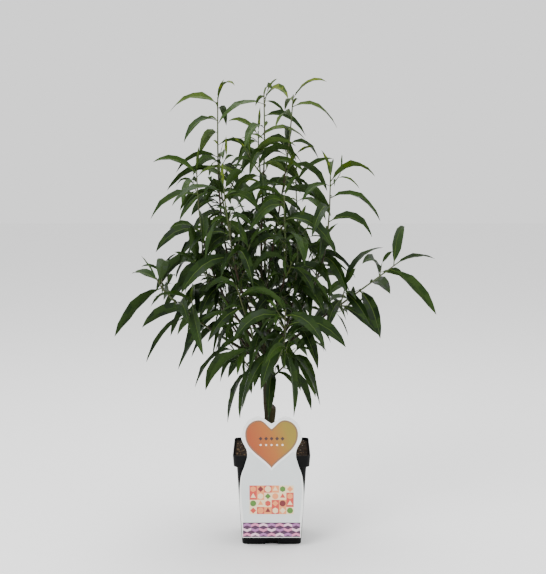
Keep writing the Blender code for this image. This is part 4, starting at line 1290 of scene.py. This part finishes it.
def buildTiles():
    # Plain shapes in cream, coral, peach and green, on a checkered ground
    bm = bmesh.new()
    size, pairs, y = card["tile"], card["tilePairs"], card["faceY"] - 2 * card["layer"]
    for row in range(card["tileRows"]):
        for column in range(card["tileColumns"]):
            x, z = (column - card["tileColumns"] / 2) * size, card["tileFoot"] + row * size
            ground, shape = pairs[(row * 3 + column * 2) % len(pairs)]
            paint(box(bm, (x, y, z), (x + size, y + card["layer"], z + size)), ground)
            sides = card["motifSides"][(row + column) % 4]
            paint(prism(bm, (x + size / 2, y, z + size / 2), sides, size * card["motif"]), shape)
    tones = printed("tileCream", "tileCoral", "tilePeach", "tileGreen", "tileDeep")
    onCard(newPiece("tilePattern", bm, tones))


def buildBand():
    # Zigzags in pinks and lilacs over plum
    low, high, half = card["bandLow"], card["bandHigh"], card["foot"][0] - card["bandInset"]
    width, rise = half / card["zigzags"], (high - low) / card["stripes"]
    y = card["faceY"] - card["layer"]
    bm = bmesh.new()
    for row in range(card["stripes"]):
        foot = low + (row + card["stripeFoot"]) * rise
        for k in range(card["zigzags"] * 2):
            x = -half + k * width
            stripe = box(bm, (x, y - card["layer"] * 0.5, foot), (x + width, y, foot + rise * 0.5))
            for vert in stripe:
                if (vert.co.x < x + width / 2) == ((k + row) % 2 == 1):
                    vert.co.z += card["stripeLift"] * rise
            paint(stripe, card["stripeTones"][(row + k // 2) % 3])
    box(bm, (-half, y, low), (half, y + card["layer"], high))
    onCard(newPiece("chevronBand", bm, printed("bandPlum", "bandPink", "bandLilac", "bandPale")))


def buildCard():
    y, layer = card["faceY"], card["layer"]
    white, grey, line = printed("cardWhite", "panelGrey", "heartLineTone")
    body = flatShape("labelCard", [cardOutline()], y, card["thickness"], white)
    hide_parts("label_card")
    buildHook(white)
    flatShape("labelPanel", [panelOutline()], y - layer, layer, grey)
    flatShape("heartBorder", [heartOutline(card["border"])], y - 2 * layer, layer, white)
    flatShape("heartPrint", [heartOutline()], y - 3 * layer, layer, heartMaterial())
    flatShape("heartLine", [heartOutline(grow) for grow in card["line"]], y - 4 * layer, layer, line)
    buildMarks()
    buildTiles()
    buildBand()
    print("card made")


buildCard()


# Studio

studio = {
    "eye": (0.0, -3.0, 0.965), "tilt": 82.35, "pan": -0.06, "lens": 86.61, "sensor": 36.0,
    "floorTone": (0.93, 0.93, 0.93), "floorReach": 8.0, "world": 1.3,
    "lights": (("keyLight", (-1.6, -2.2, 2.6), 0.5, 1.4, 90), ("fillLight", (2.2, -1.8, 1.6), 0.5, 2.0, 25),
               ("topLight", (0.0, 0.6, 3.0), 0.6, 1.6, 60)),
}


def areaLight(name, place, aimHeight, size, power):
    lamp = bpy.data.lights.new(name, "AREA")
    lamp.shape = "SQUARE"
    lamp.size = size
    lamp.energy = power
    obj = newObject(name, lamp)
    obj.location = place
    obj.rotation_euler = (Vector((0.0, 0.0, aimHeight)) - Vector(place)).to_track_quat("-Z", "Y").to_euler()


def buildStudio():
    camera = bpy.data.cameras.new("camera")
    camera.lens = studio["lens"]
    camera.sensor_width = studio["sensor"]
    eye = newObject("camera", camera)
    eye.location = studio["eye"]
    eye.rotation_euler = (math.radians(studio["tilt"]), 0.0, math.radians(studio["pan"]))
    bpy.context.scene.camera = eye
    bm = bmesh.new()
    bmesh.ops.create_grid(bm, x_segments=1, y_segments=1, size=studio["floorReach"])
    tone = studio["floorTone"]
    floor = newPiece("studioFloor", bm, [mottled("paleFloor", tone, tone, 0.8, 3)])
    world = bpy.data.worlds.new("studioWorld")
    world.use_nodes = True
    world.node_tree.nodes["Background"].inputs["Color"].default_value = (1.0, 1.0, 1.0, 1)
    world.node_tree.nodes["Background"].inputs["Strength"].default_value = studio["world"]
    bpy.context.scene.world = world
    for light in studio["lights"]:
        areaLight(*light)


buildStudio()
